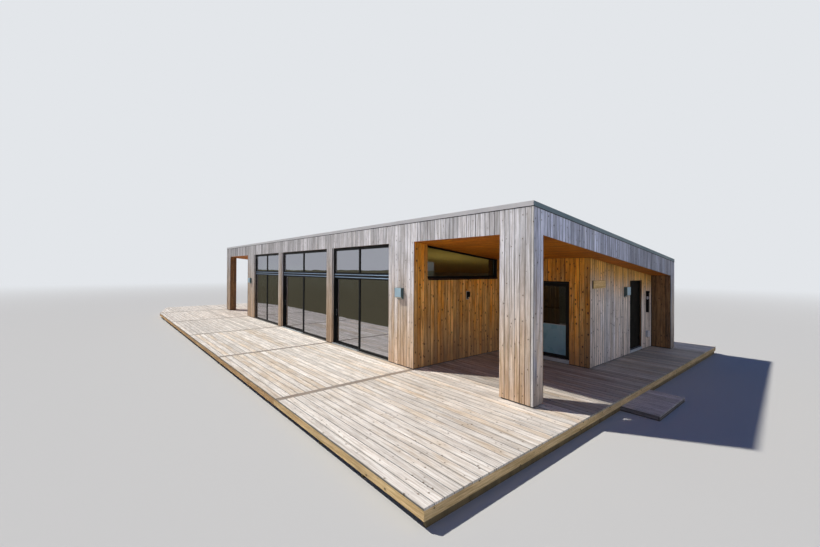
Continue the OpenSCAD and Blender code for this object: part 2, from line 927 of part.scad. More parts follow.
// Pale sill in front of a door frame, its foot drawn back into the shade
module door_sill(w) {
  z = plinth_gap + seat_gap;
  y = door_set_back - seat_gap;
  along_x(-w + glass_play, -glass_play, [
    [-sill_reach, door_sill_z - sill_front_h], [plinth_inset, door_sill_z - sill_front_h],
    [plinth_inset, z], [y, z], [y, door_sill_z], [-sill_reach, door_sill_z]
  ]);
}

// Both door sills, and the low threshold in front of each sliding leaf
module door_sills() {
  color(pale_metal) {
    at_porch_door() door_sill(porch_door_w);
    at_side_door() door_sill(side_door_w);
    placed()
      for (bay = BAYS)
        if (bay[2])
          box(bay[0] + glass_play, bay[0] + bay[1] / 2, bay_y0 - seat_gap - threshold_d,
              bay_y0 - seat_gap, plinth_gap + seat_gap, plinth_gap + threshold_h);
  }
}

// Lamps and fittings

// Lamp with its back on the plane y = 0, its underside sloping up to the front
module lamp(w, d, h) {
  z = -h / 2;
  along_x(-w / 2, w / 2, [
    [0, z], [-lamp_plate_t, z], [-lamp_plate_t, z + lamp_plate_t],
    [-d, z + lamp_plate_t + lamp_slope], [-d, h / 2], [0, h / 2]
  ]);
}

module wall_lamps() {
  color(pale_metal) placed() {
    translate([porch_x - lamp_wall_w / 2, 0, lamp_z]) lamp(lamp_w, lamp_d, lamp_h);
    translate([(end_x + left_bay_x) / 2, 0, lamp_z]) lamp(lamp_w, lamp_d, lamp_h);
    translate([-side_recess, side_door_y - side_door_w - side_lamp_y, lamp_z])
      rotate(90) lamp(lamp_w, lamp_d, lamp_h);
  }
}

module porch_lamp() {
  color(dark_metal) placed()
    translate([porch_x, porch_lamp_y, porch_lamp_z])
      rotate(90) lamp(porch_lamp_w, porch_lamp_d, porch_lamp_h);
}

// Box on the side wall, from its middle along the wall and its lower end
module on_side_wall(y, z, d, w, h) {
  placed() translate([-side_recess, y - w / 2, z]) cube([d, w, h]);
}

module name_board() {
  color(warm_wood)
    on_side_wall(porch_d + board_y + board_l / 2, board_z - board_h / 2, board_t, board_l, board_h);
}

module wall_fitting() {
  y = back_y - fitting_y;
  color(dark_metal) {
    on_side_wall(y, fitting_z, fitting_d, fitting_w, fitting_h);
    on_side_wall(y, fitting_z + fitting_h - fitting_cap_h,
                 fitting_d + fitting_cap, fitting_w + 2 * fitting_cap, fitting_cap_h);
  }
}

module socket_box() {
  color(pale_metal) on_side_wall(back_y - socket_y, socket_z, socket_d, socket_w, socket_h);
}

foundation();
floor();
deck_joists();
deck_front();
deck_right();
deck_back();
deck_left();
rim_boards();
entry_step();
corner_column();
left_column();
lamp_wall();
right_pier();
left_pier();
left_wall();
porch_wall();
entry_wall_left();
entry_wall_right();
entry_wall_over();
side_wall_front();
side_wall_back();
side_wall_over();
back_wall();
end_wall();
roof();
fascia();
soffit();
roof_cover();
roof_trim();
left_bay_frame();
middle_bay_frame();
right_bay_frame();
bay_glass();
middle_bay_leaf();
middle_bay_leaf_glass();
right_bay_leaf();
right_bay_leaf_glass();
clerestory_frames();
clerestory_glass();
back_window_frames();
back_window_glass();
porch_door_frame();
porch_door_leaf();
porch_door_glass();
side_door_frame();
side_door_leaf();
door_sills();
wall_lamps();
porch_lamp();
name_board();
wall_fitting();
socket_box();
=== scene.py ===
"""Timber beach house: boards, glass, doors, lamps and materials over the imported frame."""

import math
import random

import bpy
from mathutils import Matrix, Vector

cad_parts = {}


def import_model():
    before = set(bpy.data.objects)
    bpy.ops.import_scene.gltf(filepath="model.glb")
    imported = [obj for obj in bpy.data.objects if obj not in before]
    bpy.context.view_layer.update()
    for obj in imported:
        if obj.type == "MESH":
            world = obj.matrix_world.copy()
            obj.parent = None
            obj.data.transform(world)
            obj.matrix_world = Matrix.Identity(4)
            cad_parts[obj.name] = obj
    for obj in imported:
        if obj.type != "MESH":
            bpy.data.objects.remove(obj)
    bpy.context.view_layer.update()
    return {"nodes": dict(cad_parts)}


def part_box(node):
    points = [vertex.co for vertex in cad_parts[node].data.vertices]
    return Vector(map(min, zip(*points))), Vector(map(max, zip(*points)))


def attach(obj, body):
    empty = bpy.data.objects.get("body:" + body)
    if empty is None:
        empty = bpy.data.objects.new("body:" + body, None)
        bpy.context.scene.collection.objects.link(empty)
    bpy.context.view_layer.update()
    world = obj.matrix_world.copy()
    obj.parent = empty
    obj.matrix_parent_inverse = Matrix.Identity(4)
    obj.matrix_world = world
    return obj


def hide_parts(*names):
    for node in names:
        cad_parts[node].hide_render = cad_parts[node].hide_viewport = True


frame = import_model()
scene = bpy.context.scene

# The house's own measures, in metres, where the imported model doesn't give them
SLOPE = math.tan(math.radians(6))
# Upright depth of the roof, the trim with its gap on top of the fascia, and how far the boards end
# below the fascia's top
ROOF_BUILD, TRIM_T, TRIM_DROP = 0.56, 0.0033, 0.004
# Height of the trim along the roof's edge
TRIM_H = 0.088
# Cladding: thickness, width that a board covers, the same at the ends and columns, widest joint,
# width of the corner laths, and gap below the boards
CLAD, COVER, END_COVER, JOINT, LATH, FOOT_GAP = 0.02, 0.12, 0.115, 0.011, 0.045, 0.016
# Deck: width that a board covers, joint, thickness; cross boards' width and distance, half butt joint
DECK_PITCH, DECK_GAP, DECK_T = 0.15, 0.009, 0.028
CROSS_W, CROSS_PITCH, BUTT = 0.145, 4.325, 0.0015
# The deck's cut front left corner, its reach under the walls' boards, and where the painted shade of its
# left part begins
CUT_X, CUT_Y, INSET, FAR_X = 3.31, 0.70, 0.02, -2.5
# Boards around the edge of the deck: height, longest board, half joint
RIM_H, RIM_LENGTH, RIM_JOINT = 0.145, 4.9, 0.0008
# Window frames: width, depth of the lip, rebate around a leaf's pane, glazing beads and seals
FRAME_W, LIP, REBATE = 0.055, 0.024, 0.01
BEAD_W, BEAD_D, SEAL_W, SEAL_D = 0.014, 0.009, 0.003, 0.004
# Heights of the glass in the bays: lower panes, upper panes, and the two ledges of the transom
LOW_PANE, HIGH_PANE, LEDGES = (0.305, 2.40), (2.57, 3.2947), (2.4285, 2.5135)
# Top of the thresholds
THRESHOLD_Z = 0.275
# Wall lamps: width, depth, height and rise of the underside; wall plate, middle height, and places
LAMP = (0.245, 0.095, 0.285, 0.045)
LAMP_PLATE, LAMP_Z = 0.012, 2.078
FRONT_LAMP_X, LEFT_LAMP_X, SIDE_LAMP_Y = 7.4305, -4.6745, 2.616
# Heights of the top of the porch door's frosted part and of its lock
FROSTED_Z, LOCK_Z = 1.226, 1.16
# A hair's breadth between pieces, chamfer of boards, bevel of fittings, and what counts as one place
HAIR, CHAMFER, BEVEL, NEAR = 0.0005, 0.003, 0.001, 0.01
# Overhang of the wall fitting's cap, and more than the width of one back window
CAP_OVERHANG, WINDOW_REACH = 0.012, 1.6
# Radius, length and sides of a screw head
SCREW = (0.004, 0.0012, 12)
# Photo's width and height, focal length and optical middle in pixels; the camera's place and, in
# degrees, its turn, tilt and roll
PHOTO_W, PHOTO_H, FOCAL, MIDDLE = 820, 547, 369.806, 267.52
CAMERA_AT, HEADING, PITCH, ROLL = (14.789, -8.998, 2.69), 49.8897, 0.3015, 0.3351
# Backdrop
PALE = "#e3e6ea"

X, Y, Z = Vector((1, 0, 0)), Vector((0, 1, 0)), Vector((0, 0, 1))
# Along the roof, down towards the back
FALL = Vector((0, 1, -SLOPE)).normalized()


def span(node):
    """Lowest and highest corner of a node as six numbers: x0, x1, y0, y1, z0, z1."""
    lo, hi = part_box(node)
    return lo.x, hi.x, lo.y, hi.y, lo.z, hi.z


HX0, HX1, HY0, HY1, _, ROOF_Z = span("fascia")
COL = span("corner_column")
LCOL = span("left_column")
BACK = span("back_wall")
PORCH = span("porch_wall")
ENTRY = span("entry_wall_right")
SIDE = span("side_wall_front")
END = span("end_wall")
LAMPW = span("lamp_wall")
LWALL = span("left_wall")
LPIER = span("left_pier")
RPIER = span("right_pier")
ENTRY_LEFT = span("entry_wall_left")
ENTRY_OVER = span("entry_wall_over")
SIDE_OVER = span("side_wall_over")
HIGH = span("clerestory_frames")
BAY_Y = span("left_bay_frame")[2]
DECK = span("rim_boards")[:4]
BASE = COL[4]
FOOT = BASE + FOOT_GAP
DECK_Z = span("deck_front")[5]
HEAD_Z = ROOF_Z - ROOF_BUILD + TRIM_T


def soffit(y):
    return HEAD_Z - (y - HY0) * SLOPE


def roof(y):
    return ROOF_Z - (y - HY0) * SLOPE - TRIM_DROP


def lin(code):
    """Linear colour of a hex code."""
    parts = [int(code[i : i + 2], 16) / 255 for i in (1, 3, 5)]
    return tuple(c / 12.92 if c < 0.04045 else ((c + 0.055) / 1.055) ** 2.4 for c in parts) + (1,)


# Materials


class Nodes:
    """A node tree, with short names for the nodes used here."""

    def __init__(self, tree):
        self.tree = tree

    def put(self, socket, value):
        if isinstance(value, bpy.types.NodeSocket):
            self.tree.links.new(value, socket)
        elif isinstance(value, str):
            socket.default_value = lin(value)
        else:
            socket.default_value = value

    def node(self, kind, values=(), **settings):
        made = self.tree.nodes.new("ShaderNode" + kind)
        for key, value in settings.items():
            setattr(made, key, value)
        for key, value in dict(values).items():
            self.put(made.inputs[key], value)
        return made

    def math(self, op, a, b=0.0, clamp=False):
        return self.node("Math", {0: a, 1: b}, operation=op, use_clamp=clamp).outputs[0]

    def plus(self, a, b):
        return self.math("ADD", a, b)

    def minus(self, a, b):
        return self.math("SUBTRACT", a, b)

    def times(self, a, b):
        return self.math("MULTIPLY", a, b)

    def over(self, a, b):
        return self.math("DIVIDE", a, b)

    def rest(self, value):
        """What is left of 1."""
        return self.math("SUBTRACT", 1.0, value, clamp=True)

    def blend(self, a, b, share):
        """A share of a, and the rest from b."""
        return self.plus(self.times(a, share), self.times(b, 1 - share))

    def vector(self, op, a, b=(0, 0, 0)):
        made = self.node("VectorMath", {0: a, 1: b}, operation=op)
        return made.outputs["Value" if op == "LENGTH" else "Vector"]

    def split(self, vector):
        return self.node("SeparateXYZ", {0: vector}).outputs

    def join(self, x, y, z):
        return self.node("CombineXYZ", {0: x, 1: y, 2: z}).outputs[0]

    def place(self):
        return self.node("TexCoord").outputs["Object"]

    def facing(self, axis):
        return self.split(self.node("NewGeometry").outputs["Normal"])[axis]

    def read(self, name):
        return self.node("Attribute", attribute_name=name).outputs["Vector"]

    def noise(self, vector, scale, detail=2.0, rough=0.5):
        values = {"Vector": vector, "Scale": scale, "Detail": detail, "Roughness": rough}
        return self.node("TexNoise", values).outputs["Fac"]

    def smooth(self, value, low, high, to_low=0.0, to_high=1.0):
        values = {0: value, 1: low, 2: high, 3: to_low, 4: to_high}
        return self.node("MapRange", values, interpolation_type="SMOOTHSTEP").outputs[0]

    def mix(self, share, a, b):
        return self.node("Mix", {0: share, 6: a, 7: b}, data_type="RGBA").outputs[2]

    def shade(self, share, a, b):
        """Shader that goes from a to b."""
        return self.node("MixShader", {0: share, 1: a, 2: b}).outputs[0]

    def ramp(self, value, *stops):
        made = self.node("ValToRGB", {0: value})
        points = made.color_ramp.elements
        while len(points) < len(stops):
            points.new(0.5)
        for point, (at, colour) in zip(points, stops):
            point.position = at
            point.color = lin(colour)
        return made.outputs[0]

    def tone(self, colour, value):
        """The colour made lighter or darker by a factor."""
        return self.vector("MULTIPLY", colour, self.join(value, value, value))

    def seen(self, *kinds):
        """1 for rays straight from the camera and for the kinds named, else 0."""
        path = self.node("LightPath").outputs
        total = path["Is Camera Ray"]
        for kind in kinds:
            total = self.math("MAXIMUM", total, path["Is " + kind + " Ray"])
        return total


class Surface(Nodes):
    """A material with one main shader."""

    def __init__(self, name, rough=0.5, **values):
        self.mat = bpy.data.materials.new(name)
        self.mat.use_nodes = True
        super().__init__(self.mat.node_tree)
        self.bsdf = self.tree.nodes["Principled BSDF"]
        self.bsdf.inputs["Roughness"].default_value = rough
        for key, value in values.items():
            self.bsdf.inputs[key.replace("_", " ")].default_value = value

    def finish(self, colour, rough, height, bump, distance):
        """Colour, roughness, and a height with the strength and the size of its bumps."""
        self.put(self.bsdf.inputs["Base Color"], colour)
        self.put(self.bsdf.inputs["Roughness"], rough)
        values = {"Strength": bump, "Distance": distance, "Height": height}
        self.put(self.bsdf.inputs["Normal"], self.node("Bump", values).outputs[0])
        return self.mat


def knot_marks(t, across, along, share, size):
    """Knots and the darker wood around them: one place in each cell of 0.11 by 0.28 m.

    They are 1.4 times as long as wide. share is how many places have one.
    """
    cell = t.join(t.over(across, 0.11), t.over(along, 0.28), 0.0)
    spots = t.node("TexVoronoi", {"Vector": cell, "Scale": 1.0}, voronoi_dimensions="2D")
    gap = t.vector("SUBTRACT", spots.outputs["Position"], cell)
    off = t.vector("LENGTH", t.vector("MULTIPLY", gap, (0.11, 0.2, 0.0)))
    big = t.smooth(t.split(spots.outputs["Color"])[0], 1 - share, 1.0, 0.0, size)
    knot = t.times(t.rest(t.smooth(t.minus(off, big), -0.002, 0.004)), t.smooth(big, 0.0015, 0.004))
    halo = t.times(t.rest(t.smooth(off, 0.003, 0.045)), t.smooth(big, 0.001, 0.007))
    return knot, halo


def screw_heads(t, across, width):
    """Two screws in a board's width, in a row every 0.6 m."""
    x = t.math("FRACT", t.over(t.split(t.place())[0], 0.6))
    x = t.times(t.minus(x, 0.5), 0.6)
    y = t.math("ABSOLUTE", t.minus(t.math("FRACT", across), width / 2))
    y = t.minus(y, width / 2 - 0.025)
    return t.rest(t.smooth(t.vector("LENGTH", t.join(x, y, 0.0)), 0.0032, 0.0045))


def wood(name, tones, second, knot="#3a2a1e", knots=0.6, shade=0.12, top=None, foot=None, rough=0.72,
         screws=None, size=0.009, streak=0.55, thick=0.02, patch=0.5, spread=0.2, edge=0.0):
    """Boards: tones are the dark, middle and light grain, second the other kind of board among them.

    knots is the share of places with a knot, size its largest radius, and shade how unlike the
    boards are. top and foot are other colours towards the upper and lower end, with the heights
    between which they come in, and for foot its largest share. screws is the width of board that
    a row of screws crosses, streak the share of fine grain, patch how far the second kind comes
    in patches rather than whole boards, spread how uneven top and foot begin, and edge how much
    painted shade darkens a board's edges beside the joints.
    """
    t = Surface(name)
    grain = t.read("grain")
    across, deep, along = t.split(grain)
    light, kind, rise = t.split(t.read("tone"))
    wave = t.noise(t.vector("MULTIPLY", grain, (5, 5, 0.9)), 1.0, 2.0)
    moved = t.plus(across, t.times(t.minus(wave, 0.5), 0.04))
    inner, halo = knot_marks(t, moved, along, knots, size)

    lines = t.join(t.plus(moved, t.times(halo, 0.010)), deep, t.times(along, 0.03))
    mark = t.blend(t.noise(lines, 240.0, 3.0, 0.65), t.noise(lines, 42.0, 2.0, 0.5), streak)
    stain = t.noise(t.join(moved, deep, t.times(along, 0.35)), 5.0, 4.0, 0.6)

    def ramp(stops):
        return t.ramp(mark, *zip((0.41, 0.5, 0.59), stops))

    patches = t.noise(t.join(t.times(moved, 4.0), deep, t.times(along, 1.3)), 1.0, 3.0, 0.55)
    patches = t.times(t.minus(patches, 0.5), 2.6 * patch)
    share = t.plus(t.times(t.minus(kind, 0.5), 1 - 0.7 * patch), patches)
    colour = t.mix(t.smooth(share, -0.1, 0.45), ramp(tones), ramp(second))
    change = t.plus(t.times(light, 2 * shade), 1 - shade)
    change = t.times(change, t.smooth(stain, 0.3, 0.7, 0.87, 1.1))
    uneven = t.times(t.minus(t.plus(stain, light), 1.0), spread)
    if top:
        colour = t.mix(t.smooth(t.plus(rise, uneven), top[1], top[2]), colour, ramp(top[0]))
    if foot:
        begin = t.plus(rise, t.times(uneven, 0.6))
        colour = t.mix(t.smooth(begin, foot[1], foot[2], foot[3], 0.0), colour, foot[0])
    colour = t.tone(colour, change)
    colour = t.mix(t.times(halo, 0.3), colour, t.tone(colour, 0.74))
    colour = t.mix(t.times(inner, 0.85), colour, knot)
    # Painted shade: a board's sides below its top are darkened, as in the shade of a joint
    colour = t.tone(colour, t.smooth(deep, thick - 0.013, thick - 0.0015, 0.3, 1.0))
    # Painted shade along the joints: darker near a board's edges
    if edge:
        near, far, _ = t.split(t.read("edges"))
        colour = t.tone(colour, t.smooth(t.math("MINIMUM", near, far), 0.0, 0.012, 1 - edge, 1.0))
    height = t.plus(mark, t.times(inner, -0.3))
    if screws:
        head = screw_heads(t, across, screws)
        colour = t.mix(head, colour, "#6b655c")
        height = t.minus(height, t.times(head, 0.6))
    return t.finish(colour, t.smooth(mark, 0.3, 0.7, rough + 0.1, rough - 0.08), height, 0.5, 0.0012)


def painted(name, colour, rough=0.4, metal=0.0, mottle=0.06, coat=0.0, gloss=0.5):
    """Painted or coated sheet with slight dust and unevenness."""
    t = Surface(name, rough, Metallic=metal, Coat_Weight=coat, Specular_IOR_Level=gloss)
    spot = t.place()
    patch = t.noise(spot, 3.0, 4.0, 0.6)
    shade = t.smooth(patch, 0.25, 0.75, 1 - mottle, 1 + mottle)
    uneven = t.smooth(patch, 0.3, 0.7, rough - 0.05, rough + 0.08)
    return t.finish(t.tone(lin(colour)[:3], shade), uneven, t.noise(spot, 900.0), 0.08, 0.0004)


def concrete():
    t = Surface("concrete", 0.9)
    spot = t.place()
    pores = t.noise(spot, 90.0, 3.0, 0.7)
    mark = t.blend(t.noise(spot, 2.5, 5.0, 0.65), pores, 0.7)
    return t.finish(t.ramp(mark, (0.3, "#6f6c67"), (0.7, "#a5a29b")), 0.9, pores, 0.4, 0.003)


def roof_body():
    """Near-black body, as painted shade in the gaps between the fascia boards; its underside is pale pine
    boards indoors and brown ones outside.
    """
    t = Surface("roof_body", 0.8)
    spot = t.place()
    x, y, _ = t.split(spot)

    def grain(stretch, dark, light):
        return t.ramp(t.noise(t.vector("MULTIPLY", spot, stretch), 9.0, 3.0), (0.3, dark), (0.7, light))

    down = t.math("LESS_THAN", t.facing(2), -0.5)
    indoors = t.math("GREATER_THAN", y, HY0 + 0.34)
    boards = t.math("FRACT", t.over(x, 0.145))
    line = t.smooth(t.math("ABSOLUTE", t.minus(boards, 0.5)), 0.46, 0.49)
    pine = t.mix(t.times(line, 0.5), grain((14, 1, 1), "#c9a457", "#dfc07a"), "#8a6c35")
    under_side = t.mix(indoors, grain((1, 14, 1), "#5b4330", "#80624a"), pine)
    # Painted shade: near-black wherever the body doesn't face down
    return t.finish(t.mix(down, "#191817", under_side), 0.8, t.noise(spot, 60.0), 0.1, 0.001)


def plaster():
    """White walls towards the rooms."""
    t = Surface("plaster", 0.85)
    spot = t.place()
    colour = t.ramp(t.noise(spot, 1.5, 3.0), (0.3, "#c9c5bd"), (0.7, "#d6d2ca"))
    return t.finish(colour, 0.85, t.noise(spot, 140.0, 3.0, 0.6), 0.15, 0.001)


def backing():
    """Dark sheet behind the boards; its near-black is also painted shade for the gaps between them."""
    t = Surface("backing", 0.9)
    weave = t.noise(t.place(), 400.0)
    return t.finish(t.ramp(weave, (0.3, "#0d0b09"), (0.7, "#15120f")), 0.9, weave, 0.1, 0.0005)


def membrane():
    t = Surface("membrane", 0.85)
    spot = t.place()
    grit = t.noise(spot, 500.0, 2.0, 0.7)
    mark = t.blend(t.noise(spot, 0.8, 5.0, 0.6), grit, 0.75)
    colour = t.ramp(mark, (0.3, "#3c4043"), (0.55, "#4d5154"), (0.75, "#63676a"))
    return t.finish(colour, 0.85, grit, 0.5, 0.001)


def planks(name, dark, light, width=0.14, axis=1):
    """Planks side by side along an axis, over a CAD node that has no grain of its own."""
    t = Surface(name, 0.5)
    parts = t.split(t.place())
    row = t.over(parts[axis], width)
    line = t.smooth(t.math("ABSOLUTE", t.minus(t.math("FRACT", row), 0.5)), 0.475, 0.495)
    each = t.node("TexWhiteNoise", {"W": t.math("FLOOR", row)}, noise_dimensions="1D").outputs["Value"]
    mark = t.noise(t.join(t.times(parts[1 - axis], 0.05), t.plus(parts[axis], each), 0.0), 150.0, 3.0, 0.6)
    colour = t.tone(t.ramp(mark, (0.3, dark), (0.7, light)), t.smooth(each, 0.0, 1.0, 0.85, 1.1))
    return t.finish(t.mix(line, colour, t.tone(colour, 0.3)), 0.5, t.minus(mark, line), 0.3, 0.001)


def glass(name, tint, gloss):
    """Coated pane, very slightly wavy and dusty; gloss sets how strongly it mirrors."""
    t = Surface(name, 0.0, Transmission_Weight=1.0, IOR=gloss, Specular_Tint=lin("#f0f0f9"))
    spot = t.place()
    dust = t.noise(spot, 2.0, 5.0, 0.7)
    colour = t.tone(lin(tint)[:3], t.smooth(dust, 0.3, 0.7, 0.96, 1.04))
    return t.finish(colour, t.smooth(dust, 0.45, 0.8, 0.0, 0.02), t.noise(spot, 1.3, 1.0), 0.15, 0.01)


def trim_with_painted_light():
    """Sheet with painted light: pale where it faces the front, as if sunlit, and slate elsewhere as painted
    shade.
    """
    t = Surface("grey_trim_painted_light", 0.4, Metallic=0.2)
    spot = t.place()
    patch = t.noise(spot, 2.0, 4.0, 0.6)
    # Painted light: front-facing faces pale as if sunlit, all other faces slate as painted shade
    colour = t.mix(t.smooth(t.facing(1), -0.8, -0.5, 1.0, 0.0), "#526b78", "#c9c7c9")
    colour = t.tone(colour, t.smooth(patch, 0.25, 0.75, 0.94, 1.05))
    return t.finish(colour, t.smooth(patch, 0.3, 0.7, 0.35, 0.5), t.noise(spot, 700.0), 0.06, 0.0004)


# Dark, middle and light grain of each kind of board
WEATHERED = ("#b49878", "#d6ba9d", "#e9d5bf")
FADED = ("#bba793", "#dacab9", "#ece0d4")
SILVER = ("#b9b4b2", "#d8d5d7", "#ebeaee")
SHELTERED = ("#b0a293", "#d9cbbd", "#eee2d6")
ASHEN = ("#b2aba6", "#d8d2cf", "#ebe7e5")
# Blue-grey tones for the right end's boards: painted blue shade of the sky, not the wood's own colour
SHADE_BLUE = ("#9ea3b4", "#c2c8dc", "#dde1f0")
GOLD = ("#a5762c", "#c6933f", "#dcab55")
WARM = ("#a27331", "#e1a657", "#f6c579")
AMBER = ("#b26c12", "#e6951f", "#f6b03a")
BURNT = ("#965000", "#bd6a00", "#d28006")
RUST = ("#a05800", "#c47400", "#dc8e0c")
BROWN = ("#604529", "#83603c", "#9b774d")
SOOT = ("#493524", "#634a34", "#7a5d44")
SAND = ("#d2c8bc", "#ece3d9", "#fcf6ee")
HONEY = ("#ccb79f", "#e4d2bc", "#f1e4d3")

M = {
    "cladding": wood(
        "cladding_boards", WEATHERED, FADED, "#66503f", 0.75, 0.24, top=(SILVER, 0.2, 0.85),
        foot=("#c29a74", 0.0, 0.3, 0.42), size=0.0095, streak=0.35, edge=0.12,
    ),
    # Right end's boards: blue-grey tones and a darker foot, as painted shade
    "ends": wood(
        "end_boards_painted_shade", FADED, SHADE_BLUE, "#4a3c34", 0.75, 0.24, top=(SHADE_BLUE, 0.3, 0.9),
        foot=("#877c74", 0.0, 0.3, 0.5), size=0.011, streak=0.35, edge=0.3,
    ),
    # Corner laths: their near-white paleness is a painted highlight along the corners
    "lath": wood(
        "corner_laths", ("#c9c5c1", "#d9d6d3", "#e6e4e2"), ("#c4bfba", "#d4d0cc", "#e2dfdc"),
        "#6d5a4c", 0.3, 0.04,
    ),
    "side": wood(
        "sheltered_boards", SHELTERED, ASHEN, "#40302a", 0.95, 0.25, top=(GOLD, 0.6, 1.0),
        size=0.015, streak=0.35, spread=0.06, edge=0.5,
    ),
    "porch": wood(
        "porch_boards", WARM, AMBER, "#2a170a", 1.0, 0.26, top=(AMBER, 0.6, 1.0),
        foot=("#a08468", 0.0, 0.55, 0.6), rough=0.62, size=0.019, streak=0.4, edge=0.25,
    ),
    "fin": wood("dark_boards", BROWN, SOOT, "#22150c", 0.9, 0.34, rough=0.65, size=0.014),
    "soffit": wood("soffit_boards", BURNT, RUST, "#4a2b0c", 0.7, 0.16, rough=0.6, size=0.012),
    "deck": wood(
        "deck_boards", SAND, HONEY, "#78654f", 1.0, 0.13, screws=DECK_PITCH - DECK_GAP, size=0.01,
        thick=DECK_T, patch=0.55, streak=0.4, edge=0.36,
    ),
    "breaker": wood(
        "breaker_boards", ("#7b7064", "#94887d", "#a79c90"), ("#7e7064", "#99897a", "#ab9e8e"),
        "#5a4d40", 0.4, 0.1, thick=DECK_T,
    ),
    "step": wood(
        "step_boards", ("#a39a98", "#cdc4c4", "#e6dedf"), ("#9a928e", "#c1b9b8", "#dad2d2"),
        "#55504e", 0.4, 0.16, thick=DECK_T,
    ),
    # Rim: the second, paler yellow tones go on the right side as painted light reflected from sunlit grass
    "rim": wood(
        "rim_boards", ("#9c794f", "#bd9564", "#d3af7d"), ("#bd9f6a", "#dabb86", "#ebd09c"),
        "#503a22", 0.8, 0.1, thick=0.026, size=0.012, patch=0.3,
    ),
    "board": wood(
        "name_board_wood", ("#c39c5c", "#dcb878", "#ebcd96"), ("#b98d45", "#d6ab62", "#e6c282"),
        "#5a3d1c", 0.4, 0.05,
    ),
    "backing": backing(),
    "plaster": plaster(),
    "roof": roof_body(),
    "membrane": membrane(),
    "concrete": concrete(),
    "floor": planks("oiled_floor", "#7d6347", "#a98c68"),
    "joist": planks("joist_timber", "#5f5238", "#8a7a58", 0.045, 0),
    "trim": trim_with_painted_light(),
    "black": painted("black_frames", "#0d0e10", 0.5, 0.0, 0.12, gloss=0.2),
    "door": painted("black_door", "#050505", 0.6, 0.0, 0.12, gloss=0.1),
    # Ledges: pale blue that is partly metal colour and partly a painted reflection of the sky
    "ledge": painted("ledges_painted_sky", "#7f97b2", 0.35, 0.3, 0.05),
    "sill": painted("sill_metal", "#c9d2d8", 0.35, 0.3, 0.05),
    "steel": painted("pale_metal", "#a9b2ba", 0.35, 0.6, 0.05),
    # Wall lamps: the front panel's pale blue is a painted sky reflection, and the housing's dark teal is
    # painted shade
    "lamp_lit_face": painted("lamp_face_painted_sky", "#b2cfde", 0.3, 0.2, 0.04),
    "lamp_shaded_side": painted("lamp_sides_painted_shade", "#4f6468", 0.4, 0.3, 0.05),
    "lampplate": painted("lamp_plate", "#a59f94", 0.45, 0.2, 0.05),
    "screw": painted("screw_heads", "#5d5a55", 0.45, 0.7, 0.1),
    "rubber": painted("rubber", "#0b0c0d", 0.6, 0.0, 0.05, gloss=0.2),
    "plastic": painted("pale_plastic", "#b4bac6", 0.45, 0.0, 0.04),
    "white": painted("white_plastic", "#dfe0e4", 0.4, 0.0, 0.03),
    "glass": glass("bay_glass", "#3f4a46", 5.0),
    "clear": glass("clear_glass", "#ccd2b4", 1.6),
    "tinted": glass("door_glass", "#6a6d6b", 1.6),
    "frosted": painted("frosted_panel", "#84b4c4", 0.28, 0.0, 0.05, coat=0.3),
    "diffuser": painted("lamp_lens", "#d9d6cc", 0.35, 0.0, 0.03),
}


# Mesh makers


def keep(obj, replaces=(), body="house"):
    """Attach a piece to the body it rides on, and hide the CAD nodes it stands for."""
    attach(obj, body)
    if replaces:
        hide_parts(*replaces)


def new_object(name, mesh):
    obj = bpy.data.objects.new(name, mesh)
    scene.collection.objects.link(obj)
    return obj


def prism_faces(n):
    """Faces of a prism over n corners: its sides, its near end and its far end."""
    sides = [[i, (i + 1) % n, (i + 1) % n + n, i + n] for i in range(n)]
    return sides + [list(range(n))[::-1], list(range(n, 2 * n))]


class Boards:
    """Many boards in one mesh, each with its own grain and tone."""

    def __init__(self, seed):
        self.rng = random.Random(seed)
        self.points, self.faces, self.corners = [], [], []

    def add(self, at, across, out, along, width, thick, ends, chamfer=CHAMFER, kind=None, rise=(0, 1),
            lean=(0, 0), light=0):
        """One board. ends: start and stop along it, or those of its near edge and of its far edge.

        lean is how much further its outer face starts and stops, for mitres. light makes it paler, and
        below 0 darker, which callers also use for painted shade.
        """
        rng, at = self.rng, Vector(at)
        ends = tuple(ends) * (4 // len(ends))
        thick -= rng.random() * 0.0012
        c = min(chamfer, thick / 3)
        cross = [(0, 0), (0, thick - c), (c, thick), (width - c, thick), (width, thick - c), (width, 0)]
        shift = (rng.randrange(40), rng.uniform(0, 40))
        tone = (rng.random() + light, rng.random() if kind is None else kind)
        first = len(self.points)
        marks = []
        for end in (0, 1):
            for u, w in cross:
                share = u / width
                v = ends[end] * (1 - share) + ends[2 + end] * share + lean[end] * w / thick
                self.points.append(at + across * u + out * w + along * v)
                marks.append(((u + shift[0], w, v + shift[1]), (*tone, rise[end]), (u, width - u, 0)))
        n = len(cross)
        turned = across.cross(out).dot(along) < 0
        for face in prism_faces(n):
            face = face if turned else face[::-1]
            self.faces.append([first + i for i in face])
            for i in face:
                grain, own, edges = marks[i]
                # End faces get a depth near the top and no edge distance, so the painted joint shade leaves
                # them out
                if len(face) == n:
                    grain, edges = (grain[0], thick - 0.005, grain[2]), (1, 1, 0)
                self.corners.append((grain, own, edges))

    def make(self, name, material):
        mesh = bpy.data.meshes.new(name)
        mesh.from_pydata(self.points, [], self.faces)
        for n, key in enumerate(("grain", "tone", "edges")):
            layer = mesh.attributes.new(key, "FLOAT_VECTOR", "CORNER")
            layer.data.foreach_set("vector", [c for marks in self.corners for c in marks[n]])
        mesh.materials.append(M[material])
        mesh.update()
        return new_object(name, mesh)


